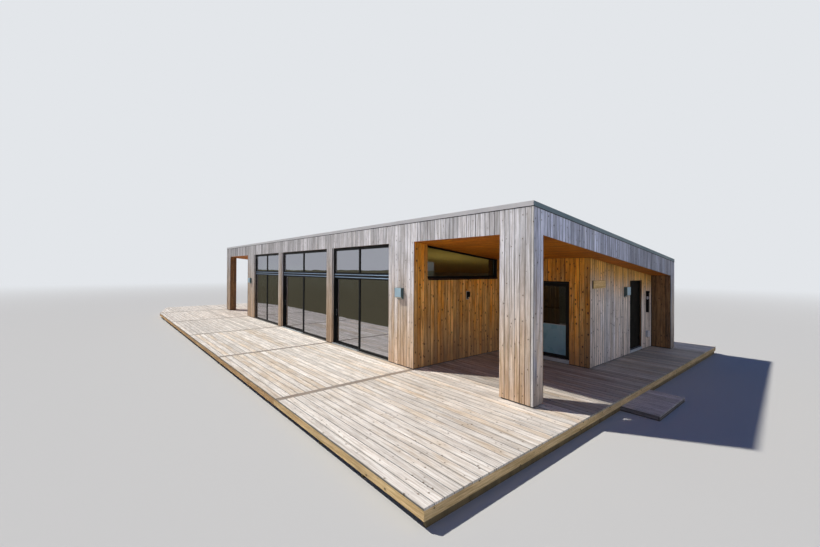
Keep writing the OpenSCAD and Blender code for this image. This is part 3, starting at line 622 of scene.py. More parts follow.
class Solids:
    """Plain solids in one mesh, each with its material; pick chooses one for each face instead."""

    def __init__(self, *materials, at=None, pick=None):
        self.materials = materials
        self.points, self.faces, self.index = [], [], []
        self.at = at or Matrix.Identity(4)
        self.pick = pick

    def prism(self, outline, extrude, material=0):
        """outline: points of one end face, anticlockwise seen against extrude; extrude: vector."""
        first = len(self.points)
        base = [Vector(p) for p in outline]
        self.points += [self.at @ p for p in base + [p + extrude for p in base]]
        for face in prism_faces(len(outline)):
            face = [first + i for i in face]
            self.faces.append(face)
            self.index.append(self.pick(self.points, face) if self.pick else material)

    def box(self, x0, x1, y0, y1, z0, z1, material=0):
        self.prism([(x0, y0, z0), (x1, y0, z0), (x1, y1, z0), (x0, y1, z0)], Z * (z1 - z0), material)

    def under_roof(self, x0, x1, y0, y1, z0=BASE):
        """Box whose top follows the slope of the soffit."""
        self.prism([(x0, y1, z0), (x0, y1, soffit(y1)), (x0, y0, soffit(y0)), (x0, y0, z0)], X * (x1 - x0))

    def rod(self, at, axis, radius, length, sides=24, material=0):
        at, axis = Vector(at), axis.normalized()
        one = axis.orthogonal().normalized()
        two = axis.cross(one)
        turn = [2 * math.pi * i / sides for i in range(sides)]
        outline = [at + one * radius * math.cos(a) + two * radius * math.sin(a) for a in turn]
        self.prism(outline, axis * length, material)

    def make(self, name, bevel=0.0):
        mesh = bpy.data.meshes.new(name)
        mesh.from_pydata(self.points, [], self.faces)
        mesh.polygons.foreach_set("material_index", self.index)
        for key in self.materials:
            mesh.materials.append(M[key])
        mesh.update()
        obj = new_object(name, mesh)
        if bevel:
            edge = obj.modifiers.new("edge", "BEVEL")
            edge.width, edge.segments, edge.limit_method = bevel, 2, "ANGLE"
            mesh.shade_smooth()
            obj.modifiers.new("normals", "WEIGHTED_NORMAL")
        return obj


def rise_at(y, z):
    """0 at the foot of the walls, 1 at the soffit."""
    return max(0.0, min(1.0, (z - BASE) / (soffit(y) - BASE)))


def under(y):
    return soffit(y) - HAIR


def given(value, place):
    """A value that is a number, or a function of the place."""
    return value(place) if callable(value) else value


def field(boards, start, run, out, length, low=FOOT, high=under, cover=COVER, dim=0):
    """Upright boards side by side: low and high are their ends, dim makes them paler or darker."""
    count = max(1, round(length / cover))
    pitch = length / count
    joints = [0] + [boards.rng.uniform(0.55, 1.0) * JOINT / 2 for _ in range(count - 1)] + [0]
    for i in range(count):
        near = i * pitch + joints[i]
        far = (i + 1) * pitch - joints[i + 1]
        points = [start + run * s for s in (near, far)]
        ends = [given(end, p.y) for p in points for end in (low, high)]
        rise = [rise_at(points[0].y, z) for z in ends[:2]]
        light = given(dim, points[0])
        boards.add(points[0] - out * CLAD, run, out, Z, far - near, CLAD, ends, rise=rise, light=light)


def along_x(boards, x0, x1, y, out, *more, **named):
    field(boards, Vector((x0, y, 0)), X, out, x1 - x0, *more, **named)


def along_y(boards, y0, y1, x, out, *more, **named):
    field(boards, Vector((x, y0, 0)), Y, out, y1 - y0, *more, **named)


# Outer cladding


def spans_front():
    """Stretches of the front: start, end and the height where its boards begin."""
    found, x = [], HX0
    for x0, x1, *_ in (LCOL, LWALL, LPIER, RPIER, LAMPW, COL):
        if x0 > x + NEAR:
            found.append((x, x0, HEAD_Z))
        found.append((x0, x1, FOOT))
        x = x1
    return found


def front_dim(p):
    """Darker boards towards the left, and paler ones by the lamp."""
    return 0.3 if LAMPW[0] - NEAR < p.x < LAMPW[1] else 0.05 * min(0, p.x - 6)


def clad_front():
    b, laths = Boards(11), Boards(12)
    for x0, x1, z in spans_front():
        if x0 < HX0 + NEAR:
            x0 += LATH + JOINT
        if x1 > HX1 - NEAR:
            x1 -= LATH + JOINT
        along_x(b, x0, x1, HY0, -Y, z, roof, dim=front_dim)
    # Pale laths at both corners: a painted highlight along the edges
    for x in (HX0, HX1 - LATH):
        laths.add((x, HY0 + CLAD, 0), X, -Y, Z, LATH, CLAD, (FOOT, roof(HY0)))
    keep(laths.make("corner_laths", "lath"))
    nodes = ("fascia", "corner_column", "left_column", "lamp_wall", "right_pier", "left_pier", "left_wall")
    keep(b.make("cladding_front", "cladding"), nodes)


def ends_painted_shade(p):
    """Painted shade: boards that darken towards the back, beginning with paler ones beside the column."""
    back = p.y - HY0
    return 0.3 - 0.155 * back if p.y > COL[3] - NEAR else -0.12 * back


def clad_ends():
    """Ends of the house: column, edge of the roof, end of the back wall."""
    parts = ((HY0 + CLAD, COL[3], FOOT), (COL[3], BACK[2], soffit), (BACK[2], HY1 - CLAD, FOOT))
    # The right end uses the painted-shade boards, the sunlit left end the ordinary cladding
    sides = (("cladding_right", HX1, X, "ends"), ("cladding_left", HX0, -X, "cladding"))
    for name, x, out, material in sides:
        b = Boards(len(name))
        for y0, y1, low in parts:
            along_y(b, y0, y1, x, out, low, roof, END_COVER, ends_painted_shade)
        keep(b.make(name, material), ("fascia",))


def windows_back():
    """Left edge, right edge, sill and head of each window in the back wall."""
    lo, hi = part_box("back_window_frames")
    edges = sorted({round(v.co.x, 3) for v in frame["nodes"]["back_window_frames"].data.vertices})
    found = []
    while edges:
        group = [x for x in edges if x - edges[0] < WINDOW_REACH]
        found.append((group[0], group[-1], lo.z, hi.z))
        edges = edges[len(group):]
    return found


def clad_back():
    b = Boards(23)
    x = HX0
    for x0, x1, z0, z1 in windows_back():
        along_x(b, x, x0, HY1, Y, high=roof)
        along_x(b, x0, x1, HY1, Y, high=z0)
        along_x(b, x0, x1, HY1, Y, z1, roof)
        x = x1
    along_x(b, x, HX1, HY1, Y, high=roof)
    keep(b.make("cladding_back", "cladding"), ("fascia", "back_wall"))


def clad_reveals():
    """Sides of the bays' openings, between the front boards and the frames."""
    b = Boards(31)
    for wall in (LWALL, LPIER, RPIER, LAMPW):
        for x, out in ((wall[0], -X), (wall[1], X)):
            if min(abs(x - LAMPW[1]), abs(x - END[0])) >= NEAR:
                along_y(b, HY0 + CLAD, BAY_Y - 0.001, x, out)
    keep(b.make("cladding_reveals", "cladding"))


def clad_columns():
    """Sheltered sides of both columns."""
    b, back = Boards(37), Boards(38)
    for col, inner, out in ((COL, COL[0], -X), (LCOL, LCOL[1], X)):
        along_y(b, HY0 + CLAD, col[3] - CLAD, inner, out, cover=END_COVER)
        along_x(back, col[0], col[1], col[3], Y)
    keep(b.make("cladding_columns", "fin"))
    keep(back.make("cladding_columns_back", "porch"))


def clad_window_wall(b, x, out):
    """Wall with a high window: full boards at its ends, short ones below the sill."""
    along_y(b, HY0 + CLAD, HIGH[2], x, out)
    along_y(b, HIGH[2], HIGH[3], x, out, high=HIGH[4])
    along_y(b, HIGH[3], ENTRY[2], x, out)


def clad_porch():
    b = Boards(41)
    clad_window_wall(b, PORCH[1], X)
    along_x(b, PORCH[1] + CLAD, ENTRY_LEFT[1], ENTRY[2], -Y)
    along_x(b, ENTRY_OVER[0], ENTRY_OVER[1], ENTRY[2], -Y, ENTRY_OVER[4])
    along_x(b, ENTRY[0], ENTRY[1], ENTRY[2], -Y)
    nodes = ("porch_wall", "entry_wall_left", "entry_wall_right", "entry_wall_over")
    keep(b.make("cladding_porch", "porch"), nodes)


def clad_side():
    b = Boards(43)
    _, _, y0, y1, head, _ = SIDE_OVER
    for ya, yb, low in ((ENTRY[2] + CLAD, y0, FOOT), (y0, y1, head), (y1, span("side_wall_back")[3], FOOT)):
        along_y(b, ya, yb, SIDE[1], X, low, dim=0.25)
    nodes = ("side_wall_front", "side_wall_back", "side_wall_over")
    keep(b.make("cladding_side", "side"), nodes)


def clad_terrace():
    """Terrace at the left end, and the sheltered faces of the back wall."""
    b, fins = Boards(47), Boards(48)
    clad_window_wall(b, END[0], -X)
    along_y(b, ENTRY[2], BACK[2] - CLAD, END[0], -X)
    along_x(fins, HX0 + CLAD, END[0], BACK[2], -Y)
    along_x(fins, SIDE[1] + CLAD, HX1 - CLAD, BACK[2], -Y)
    keep(b.make("cladding_terrace", "porch"), ("end_wall",))
    keep(fins.make("cladding_fins", "fin"), ("back_wall",))


# Wall cores behind the boards


def towards_room(points, face):
    """1 for a face that looks into the rooms, else 0."""
    corners = [points[i] for i in face]
    middle = sum(corners, Vector()) / len(corners)
    normal = (corners[1] - corners[0]).cross(corners[2] - corners[1])
    spot = middle + normal.normalized() * 0.02
    room = END[1] - 0.001 < spot.x < PORCH[0] + 0.001 and HY0 + 0.21 < spot.y < BACK[2]
    hall = PORCH[0] < spot.x < SIDE[0] + 0.001 and ENTRY[3] - 0.001 < spot.y < BACK[2]
    return 1 if room or hall else 0


def pierced(s, x, end, y0, y1):
    """Stretch of the back wall from x to its end, with the windows left out."""
    for x0, x1, z0, z1 in windows_back():
        s.under_roof(x, x0, y0, y1)
        s.box(x0, x1, y0, y1, BASE, z0)
        s.under_roof(x0, x1, y0, y1, z1)
        x = x1
    s.under_roof(x, end, y0, y1)


def walls():
    s = Solids("backing", "plaster", pick=towards_room)
    tall, c, wall_y = s.under_roof, CLAD, ENTRY[2] + CLAD
    for col in (COL, LCOL):
        tall(col[0] + c, col[1] - c, HY0 + c, col[3] - c)
    for wall in (RPIER, LPIER, LAMPW, LWALL):
        x0, x1, _, y1, _, _ = wall
        tall(x0 + c, x1 - c, HY0 + c, BAY_Y)
        tall(x0 + (c if wall == LWALL else 0), x1 - (c if wall == LAMPW else 0), BAY_Y, y1)
    for x0, x1 in ((PORCH[0], PORCH[1] - c), (END[0] + c, END[1])):
        tall(x0, x1, LAMPW[3], HIGH[2])
        s.box(x0, x1, HIGH[2], HIGH[3], BASE, HIGH[4])
        tall(x0, x1, HIGH[3], wall_y)
    tall(END[0] + c, END[1], wall_y, BACK[2])
    tall(PORCH[0], ENTRY_LEFT[1], wall_y, ENTRY[3])
    tall(ENTRY_OVER[0], ENTRY_OVER[1], wall_y, ENTRY[3], ENTRY_OVER[4])
    tall(ENTRY[0], ENTRY[1] - c, wall_y, ENTRY[3])
    _, _, y0, y1, head, _ = SIDE_OVER
    for ya, yb, low in ((ENTRY[3], y0, BASE), (y0, y1, head), (y1, BACK[2], BASE)):
        tall(SIDE[0], SIDE[1] - c, ya, yb, low)
    pierced(s, HX0 + c, HX1 - c, BACK[2] + c, HY1 - c)
    pierced(s, END[0], SIDE[1], BACK[2], BACK[2] + c)
    keep(s.make("wall_cores"))


# Deck


def corner_left(y):
    """Left end of the deck at a distance from the front, where the corner is cut."""
    return max(DECK[0], DECK[0] + CUT_X * (1 - (y - DECK[2]) / CUT_Y))


def corner_front(x):
    """Front edge of the deck at a place along it, slanting where the corner is cut."""
    return max(DECK[2], DECK[2] + CUT_Y * (1 - (x - DECK[0]) / CUT_X))


def row_stops(y, xa, xb, cuts, seed):
    """Where the boards of a row end: at the cuts that lie in it, or else at random places."""
    stops = sorted(c for c in cuts if max(xa, corner_left(y)) + 0.3 < c < xb - 0.3)
    if stops:
        return stops
    rng = random.Random(seed)
    place = xb - rng.choice((2.4, 3.0, 3.6, 4.2, 4.8))
    while place > xa + 1.2:
        stops.append(place)
        place -= rng.choice((3.6, 4.2, 4.8))
    return sorted(stops)


def deck_row(b, ya, yb, xa, xb, cuts, seed):
    """One row of boards, with painted shade: darker under the porch, more so further in, and on the left.
    """
    inwards = ya - HY0 - INSET
    in_porch_shade = xa > PORCH[1] - 0.1 and inwards > 0.4
    at = xa
    for stop in row_stops(ya, xa, xb, cuts, seed) + [xb]:
        near = at + (0 if at == xa else CROSS_W / 2 + 0.003 if at in cuts else BUTT)
        far = stop - (0 if stop == xb else CROSS_W / 2 + 0.001 if stop in cuts else BUTT)
        ends = (near, far)
        if at == xa and xa < DECK[0] + 0.1:
            ends = (max(near, corner_left(ya)), far, max(near, corner_left(yb)), far)
        # Painted shade: rows under the porch darken further in, and boards left of FAR_X are darker and
        # mostly of the first kind
        kind = b.rng.random() * (1 if at > FAR_X or in_porch_shade else 0.4)
        light = -1.2 - 0.12 * min(inwards, 3.0) if in_porch_shade else -0.4 if at < FAR_X else 0
        b.add((0, ya, DECK_Z - DECK_T), Y, Z, X, yb - ya, DECK_T, ends, kind=kind, light=light)
        at = stop


def deck_region(b, rect, base, pitch, cuts, seed):
    """Rows of boards over a rectangle, on a grid that begins at base."""
    xa, xb, ra, rb = rect
    i = 0
    while base + i * pitch < rb:
        a = max(base + i * pitch + DECK_GAP / 2, ra)
        c = min(base + (i + 1) * pitch - DECK_GAP / 2, rb)
        if c - a > 0.025:
            deck_row(b, a, c, xa, xb, cuts, seed * 1000 + i)
        i += 1


def deck():
    """Boards along x on one grid, with cross boards at the piers' lines in front."""
    b, cross = Boards(53), Boards(59)
    x0, x1, y0, y1 = DECK
    front, back, half = HY0 + INSET, HY1 - INSET, DECK_GAP / 2
    breakers = [LAMPW[1] - 0.05 - CROSS_PITCH * i for i in range(5)]
    pitch = (front - y0 + half) / round((front - y0) / DECK_PITCH)
    deck_region(b, (x0, x1, y0, front), y0 - half, pitch, breakers, 1)
    pitch = (back - front) / round((back - front) / DECK_PITCH)
    porch_x, side_x, end_x = PORCH[1] - 0.025, SIDE[1] - INSET, END[0] + INSET
    col_y, wall_y, fin_y = COL[3] - INSET, ENTRY[2] + INSET, BACK[2] + INSET
    for n, rect in enumerate((
        (porch_x, COL[0] + INSET, front, col_y), (COL[1] - INSET, x1, front, col_y),
        (porch_x, x1, col_y, wall_y), (side_x, x1, wall_y, fin_y), (HX1 - INSET, x1, fin_y, back),
        (x0, LCOL[0] + INSET, front, col_y), (LCOL[1] - INSET, end_x, front, col_y),
        (x0, end_x, col_y, fin_y), (x0, HX0 + INSET, fin_y, back),
    )):
        deck_region(b, rect, front, pitch, (), 2 + n)
    pitch = (y1 - back + half) / round((y1 - back) / DECK_PITCH)
    deck_region(b, (x0, x1, back, y1), back, pitch, (), 20)
    for x in breakers:
        near, far = x - CROSS_W / 2, x + CROSS_W / 2
        ends = (corner_front(near), front, corner_front(far), front)
        cross.add((near, 0, DECK_Z - DECK_T), X, Z, Y, CROSS_W, DECK_T, ends)
    nodes = ("deck_front", "deck_right", "deck_back", "deck_left")
    keep(b.make("deck_planks", "deck"), nodes)
    keep(cross.make("deck_cross_boards", "breaker"))


def rim():
    """Boards around the edge of the deck, under its boards' ends, mitred at the corners."""
    b = Boards(61)
    t, high = DECK_T, RIM_H - DECK_T - HAIR
    x0, x1, y0, y1 = DECK
    corners = ((x0 + CUT_X, y0), (x1, y0), (x1, y1), (x0, y1), (x0, y0 + CUT_Y))
    corners = [Vector((*p, 0)) for p in corners]
    n = len(corners)
    for i, a in enumerate(corners):
        c = corners[(i + 1) % n]
        run, length = (c - a).normalized(), (c - a).length
        inward = Z.cross(run)
        lean_a = math.tan(run.angle(a - corners[i - 1]) / 2) * t
        lean_c = math.tan(run.angle(corners[(i + 2) % n] - c) / 2) * t
        at = a + inward * t + Z * (DECK_Z - RIM_H)
        # Right side's boards take the second tones: painted reflected light
        kind = 1 if run.y > 0.9 else None
        pieces = max(1, math.ceil(length / RIM_LENGTH))
        for k in range(pieces):
            lean = (-lean_a if k == 0 else 0, lean_c if k == pieces - 1 else 0)
            s0 = length * k / pieces + RIM_JOINT - lean[0]
            s1 = length * (k + 1) / pieces - RIM_JOINT - lean[1]
            b.add(at, Z, -inward, run, high, t, (s0, s1), kind=kind, lean=lean)
    keep(b.make("rim_planks", "rim"), ("rim_boards",))


def step():
    """Low step: boards on three bearers, and one across the bearers' ends."""
    b = Boards(67)
    x0, x1, y0, y1, z0, z1 = span("entry_step")
    count = round((y1 - y0) / CROSS_W)
    pitch, bearer, high = (y1 - y0) / count, 0.045, z1 - z0 - DECK_T - 0.001
    for i in range(count):
        a = y0 + i * pitch + (0.003 if i else 0)
        c = y0 + (i + 1) * pitch - (0.003 if i < count - 1 else 0)
        b.add((0, a, z1 - DECK_T), Y, Z, X, c - a, DECK_T, (x0, x1))
    # Painted shade: the bearers and the end board are made darker
    for y in (y0, (y0 + y1 - bearer) / 2, y1 - bearer):
        b.add((0, y, z0), Y, Z, X, bearer, high, (x0, x1 - 0.03), light=-2)
    b.add((x1 - DECK_T, 0, z0), X, Z, Y, DECK_T, high, (y0, y1), light=-2)
    keep(b.make("step_planks", "step"), ("entry_step",))


# Soffit and roof


def soffit_boards():
    b = Boards(71)
    out = -Vector((0, SLOPE, 1)).normalized()
    edge, half_joint = 0.022, 0.003
    x_left, x_right, y_front, y_entry = HX0 + edge, HX1 - edge, HY0 + edge, ENTRY[2] - edge
    rects = (
        (PORCH[1], COL[0], y_front, COL[3]), (PORCH[1], x_right, COL[3], y_entry),
        (SIDE[1], x_right, y_entry, BACK[2]),
        (LCOL[1], END[0], y_front, LCOL[3]), (x_left, END[0], LCOL[3], BACK[2]),
    )
    for n, (x0, x1, y0, y1) in enumerate(rects):
        rng = random.Random(300 + n)
        i = math.floor((y0 - HY0) / COVER)
        while HY0 + i * COVER < y1:
            a = max(HY0 + i * COVER + half_joint, y0)
            e = min(HY0 + (i + 1) * COVER - half_joint, y1)
            i += 1
            if e - a <= 0.02:
                continue
            pieces = [(x0, x1)]
            if x1 - x0 > 2:
                cut = x0 + (x1 - x0) * rng.uniform(0.3, 0.7)
                pieces = [(x0, cut - 0.0006), (cut + 0.0006, x1)]
            for ends in pieces:
                b.add((0, a, soffit(a) + 0.0205), FALL, out, X, (e - a) / FALL.y, CLAD, ends)
    keep(b.make("soffit_planks", "soffit"), ("soffit",))


def recess_ceilings():
    """Thin boards in line with the soffit over the recesses of the high windows."""
    b = Boards(97)
    ends = (0, (HIGH[3] - HIGH[2]) / FALL.y)
    for x0, x1 in ((HIGH[1], PORCH[1] - 0.001), (END[0] + 0.001, HIGH[0])):
        b.add((x0, HIGH[2], soffit(HIGH[2]) + 0.0135), X, -Z, FALL, x1 - x0, CLAD, ends)
    keep(b.make("recess_ceilings", "soffit"))


def roofing_overlaps():
    """Strips where the sheets of the roofing overlap, about every metre."""
    x0, x1, y0, y1, _, z1 = span("roof_cover")
    s = Solids("membrane")
    count = round(x1 - x0)
    a, b = y0 + 0.13, y1 - 0.13
    za, zb = z1 - (a - y0) * SLOPE, z1 - (b - y0) * SLOPE
    for i in range(1, count):
        x = x0 + (x1 - x0) * i / count - 0.05
        s.prism([(x, a, za + 0.003), (x, b, zb + 0.003), (x, b, zb), (x, a, za)], X * 0.1)
    keep(s.make("roofing_overlaps"))


def roof_edge():
    """Joint covers on the edge trim, and a dark strip beneath it that is painted shadow."""
    s = Solids("trim", "rubber")
    x0, x1, y0, y1, _, top = span("roof_trim")
    foot, cover, reach, shadow_strip, shadow_strip_h = top - TRIM_H, 0.0008, 0.05, 0.0035, 0.014
    fall = (y1 - y0) * SLOPE
    for i in range(1, 7):
        x = x0 + (x1 - x0) * i / 7
        s.box(x - reach, x + reach, y0 - cover, y0, foot + 0.001, top - 0.002)
        s.box(x - reach, x + reach, y1, y1 + cover, foot - fall + 0.001, top - fall - 0.004)

    def sloped(xa, xb, low, high, material, ya, yb):
        za, zb = top - (ya - y0) * SLOPE, top - (yb - y0) * SLOPE
        outline = [(xa, yb, zb - low), (xa, yb, zb - high), (xa, ya, za - high), (xa, ya, za - low)]
        s.prism(outline, X * (xb - xa), material)

    for xa, xb in ((x0 - cover, x0), (x1, x1 + cover)):
        for y in (-0.9, 1.9):
            sloped(xa, xb, TRIM_H - 0.001, 0.003, 0, y - reach, y + reach)
    # Painted shadow: dark strips along the foot of the trim, at the ends, front and back
    for xa, xb in ((HX0 - shadow_strip, HX0), (HX1, HX1 + shadow_strip)):
        sloped(xa, xb, TRIM_H + shadow_strip_h, TRIM_H, 1, y0, HY1)
    s.box(HX0, HX1, HY0 - shadow_strip, HY0, foot - shadow_strip_h, foot, 1)
    z = foot - (HY1 - y0) * SLOPE
    s.box(HX0, HX1, HY1, HY1 + shadow_strip, z - shadow_strip_h, z, 1)
    keep(s.make("roof_edge_details"))


def cad_materials():
    """Materials of the CAD nodes that are shown as they are."""
    for material, nodes in {
        "concrete": "foundation", "floor": "floor", "joist": "deck_joists", "roof": "roof",
        "membrane": "roof_cover", "trim": "roof_trim", "sill": "door_sills",
        "black": "left_bay_frame middle_bay_frame right_bay_frame middle_bay_leaf right_bay_leaf "
        "clerestory_frames back_window_frames porch_door_frame porch_door_leaf",
        "door": "side_door_frame side_door_leaf",
        "glass": "bay_glass middle_bay_leaf_glass right_bay_leaf_glass back_window_glass",
        "clear": "clerestory_glass", "tinted": "porch_door_glass",
    }.items():
        for node in nodes.split():
            slots = frame["nodes"][node].data.materials
            slots.clear()
            slots.append(M[material])


# Windows and doors


def on_wall(x, y, turn=0, z=0):
    """Frame at a wall's face, seen from outside: x to the right, y into the wall, z upwards."""
    return Matrix.Translation((x, y, z)) @ Matrix.Rotation(math.radians(turn), 4, "Z")


def ring(x0, x1, z0, z1, w):
    """Bars w wide along the inner edge of a rectangle: below, above, left and right."""
    yield x0, x1, z0, z0 + w
    yield x0, x1, z1 - w, z1
    yield x0, x0 + w, z0 + w, z1 - w
    yield x1 - w, x1, z0 + w, z1 - w


def beads(s, x0, x1, z0, z1, y):
    """Glazing beads in front of a pane, with the dark seal beside them."""
    for a, b, c, d in ring(x0, x1, z0, z1, BEAD_W):
        s.box(a, b, y - BEAD_D, y - HAIR, c, d)
    for a, b, c, d in ring(x0 + BEAD_W, x1 - BEAD_W, z0 + BEAD_W, z1 - BEAD_W, SEAL_W):
        s.box(a, b, y - SEAL_D, y - HAIR, c, d, 1)


def leaf_beads(s, glass_node):
    x0, x1, y0, _, z0, z1 = span(glass_node)
    beads(s, x0 + REBATE, x1 - REBATE, z0 + REBATE, z1 - REBATE, y0)


def bay_frames():
    """Beads of the fixed panes, and the transoms' ledges, whose pale blue is partly their metal and partly
    a painted reflection of the sky.
    """
    s = Solids("black", "rubber", "ledge")
    slant = Vector((0, 0.02, 0.028))
    out = X.cross(slant).normalized() * 0.0015
    for node in ("left_bay_frame", "middle_bay_frame", "right_bay_frame"):
        x0, x1, y0, _, _, _ = span(node)
        w = (x1 - x0 - 3 * FRAME_W) / 2
        for i in (0, 1):
            a = x0 + FRAME_W + i * (w + FRAME_W)
            beads(s, a, a + w, *HIGH_PANE, y0 + LIP)
            if i or node == "left_bay_frame":
                beads(s, a, a + w, *LOW_PANE, y0 + LIP)
        for z in LEDGES:
            a = Vector((x0 + FRAME_W, y0, z))
            b = a + slant
            s.prism([b + out, a + out, a, b], X * (x1 - x0 - 2 * FRAME_W), 2)
            s.box(x0 + FRAME_W, x1 - FRAME_W, y0 - 0.004, y0 - 0.0002, z - 0.004, z + 0.001, 2)
    keep(s.make("bay_beads", BEVEL))


def bay_leaves():
    """Beads of the sliding leaves, with the grip outside and the handle inside."""
    for name in ("middle", "right"):
        x0, _, y0, y1, _, _ = span(name + "_bay_leaf")
        s = Solids("black", "rubber", "steel")
        leaf_beads(s, name + "_bay_leaf_glass")
        x = x0 + 0.025
        s.box(x - 0.016, x + 0.016, y0 - 0.0018, y0, 1.17, 1.37, 2)
        s.box(x - 0.011, x + 0.011, y0 - 0.0024, y0 - 0.0018, 1.19, 1.35, 1)
        for z in (1.16, 1.36):
            s.rod((x, y1, z), Y, 0.008, 0.04, 20, 2)
        s.rod((x, y1 + 0.045, 1.13), Z, 0.010, 0.26, 24, 2)
        keep(s.make(name + "_leaf_details", BEVEL), body=name + "_slide")


def metal_sill(s, x0, x1, nose, edge, back, z, material):
    """Thin sheet under a window, its front edge turned down."""
    s.box(x0, x1, -nose, back, z - 0.004, z - 0.001, material)
    s.box(x0, x1, -nose - edge, -nose, z - 0.03, z - 0.001, material)


def high_windows(s):
    """Lower bead, seal and sill of both high windows."""
    _, _, y0, y1, z, _ = span("clerestory_glass")
    z += REBATE
    for x, side in ((HIGH[1], 1), (HIGH[0], -1)):
        s.at = on_wall(x, 0, 90 * side)
        a, b = sorted((side * (y0 + REBATE), side * (y1 - REBATE)))
        s.box(a, b, LIP - BEAD_D, LIP - HAIR, z, z + BEAD_W)
        s.box(a, b, LIP - SEAL_D, LIP - HAIR, z + BEAD_W, z + BEAD_W + 0.004, 1)
        metal_sill(s, a - 0.04, b + 0.04, 0.082, 0.003, 0, HIGH[4], 0)


def back_windows(s):
    """Beads, sills and lined reveals of the windows in the back wall."""
    b = Boards(83)
    face = span("back_window_frames")[3]
    s.at = on_wall(0, HY1, 180)
    deep = HY1 - CLAD - face - 0.001
    for x0, x1, z0, z1 in windows_back():
        metal_sill(s, -x1 - 0.02, -x0 + 0.02, 0.03, 0.002, HY1 - face, z0, 2)
        beads(s, -x1 + FRAME_W, -x0 - FRAME_W, z0 + FRAME_W, z1 - FRAME_W, HY1 - face + LIP)
        for x, across in ((x0, X), (x1, -X)):
            b.add((x, face + 0.001, 0), Y, across, Z, deep, 0.018, (z0, z1))
        b.add((0, face + 0.001, z1), Y, -Z, X, deep, 0.018, (x0 + 0.02, x1 - 0.02))
    keep(b.make("window_linings", "cladding"))


def windows():
    s = Solids("black", "rubber", "trim")
    high_windows(s)
    back_windows(s)
    keep(s.make("window_details", BEVEL))


def doorways():
    """Each doorway as a frame at the wall's face, its width, and its head's height."""
    yield on_wall(ENTRY_OVER[0], ENTRY[2]), ENTRY_OVER[1] - ENTRY_OVER[0], ENTRY_OVER[4]
    yield on_wall(SIDE[1], SIDE_OVER[2], 90), SIDE_OVER[3] - SIDE_OVER[2], SIDE_OVER[4]


def thresholds():
    """Dark ribs on the thresholds before the sliding halves and on the sills of both doors."""
    s = Solids("rubber", "screw")
    rib_pitch = 0.011

    def rib(x0, x1, y, width, top):
        s.box(x0, x1, y, y + width, top - HAIR, top + 0.0015)

    for node in ("middle_bay_frame", "right_bay_frame"):
        x0, x1, y0, _, _, _ = span(node)
        for i in range(4):
            rib(x0 + 0.004, (x0 + x1) / 2 - 0.002, y0 - 0.046 + i * rib_pitch, 0.003, THRESHOLD_Z)
    top = span("door_sills")[5]
    for at, w, _ in doorways():
        s.at = at
        for i in range(5):
            rib(0.012, w - 0.012, 0.004 + i * rib_pitch, 0.004, top)
        for x in (0.08, w / 2, w - 0.08):
            s.rod((x, -0.0195, top - 0.03), -Y, 0.004, 0.0015, 12, 1)
    keep(s.make("threshold_ribs"))


def door_linings():
    """Boards at both sides and the head of each doorway, between the wall's boards and the frame."""
    b = Boards(101)
    deep = span("porch_door_frame")[2] - ENTRY[2] - CLAD - 0.001
    for at, w, head in doorways():
        right, into = at.to_3x3() @ X, at.to_3x3() @ Y
        face = at.translation + into * (CLAD + HAIR)
        for x, out in ((0, right), (w, -right)):
            b.add(face + right * x - out * 0.012, into, out, Z, deep, CLAD, (FOOT, head))
        b.add(face + Z * (head + 0.012), into, -Z, right, deep, CLAD, (0.009, w - 0.009))
    keep(b.make("door_linings", "fin"))


def porch_door():
    """Beads of the glazed door, the frosted lower part of its pane, and the lock."""
    x0, x1, y, _, z0, _ = span("porch_door_glass")
    s = Solids("black", "rubber", "frosted", "steel")
    leaf_beads(s, "porch_door_glass")
    s.box(x0 + 0.012, x1 - 0.012, y - 0.004, y - 0.001, z0 + 0.012, FROSTED_Z, 2)
    s.box(x0 + 0.012, x1 - 0.012, y - 0.007, y - 0.001, FROSTED_Z, FROSTED_Z + 0.014, 3)
    at = Vector((span("porch_door_leaf")[0] + 0.0325, span("porch_door_frame")[2] + 0.021, LOCK_Z))
    s.rod(at, -Y, 0.016, 0.006, 32, 3)
    s.rod(at - Y * 0.006, -Y, 0.008, 0.002, 24, 1)
    keep(s.make("porch_door_details", 0.0008), body="porch_door")


# Lamps and fittings


def lamp(name, at, size, face, side, node):
    """Box lamp: wall plate, housing, front panel and a lens on its sloping underside."""
    w, d, h, slope = size
    # face is the front panel's material (a painted sky reflection), side the plate's and housing's (painted
    # shade)
    s = Solids(side, face, "diffuser", "screw", at=at)
    z, plate = -h / 2, LAMP_PLATE
    foot = z + plate + slope
    s.box(-w / 2, w / 2, -plate, 0, z, h / 2)
    body = ((-plate, z + plate), (-plate, h / 2), (-d + 0.004, h / 2), (-d + 0.004, foot))
    s.prism([(-w / 2 + 0.001, *p) for p in body], X * (w - 0.002))
    s.box(-w / 2, w / 2, -d, -d + 0.0035, foot + 0.001, h / 2, 1)
    run = Vector((0, -d + plate, slope)).normalized()
    out = Vector((0, -slope, -d + plate)).normalized() * 0.002
    a = Vector((-w / 2 + 0.02, -plate, z + plate)) + run * 0.012
    b = a + run * (math.hypot(d - plate, slope) - 0.03)
    s.prism([b, b + out, a + out, a], X * (w - 0.04), 2)
    for x in (-w / 2 + 0.012, w / 2 - 0.012):
        s.rod((x, -plate, z + 0.006), -Y, 0.003, 0.0015, 12, 3)
    keep(s.make(name, 0.002), (node,))


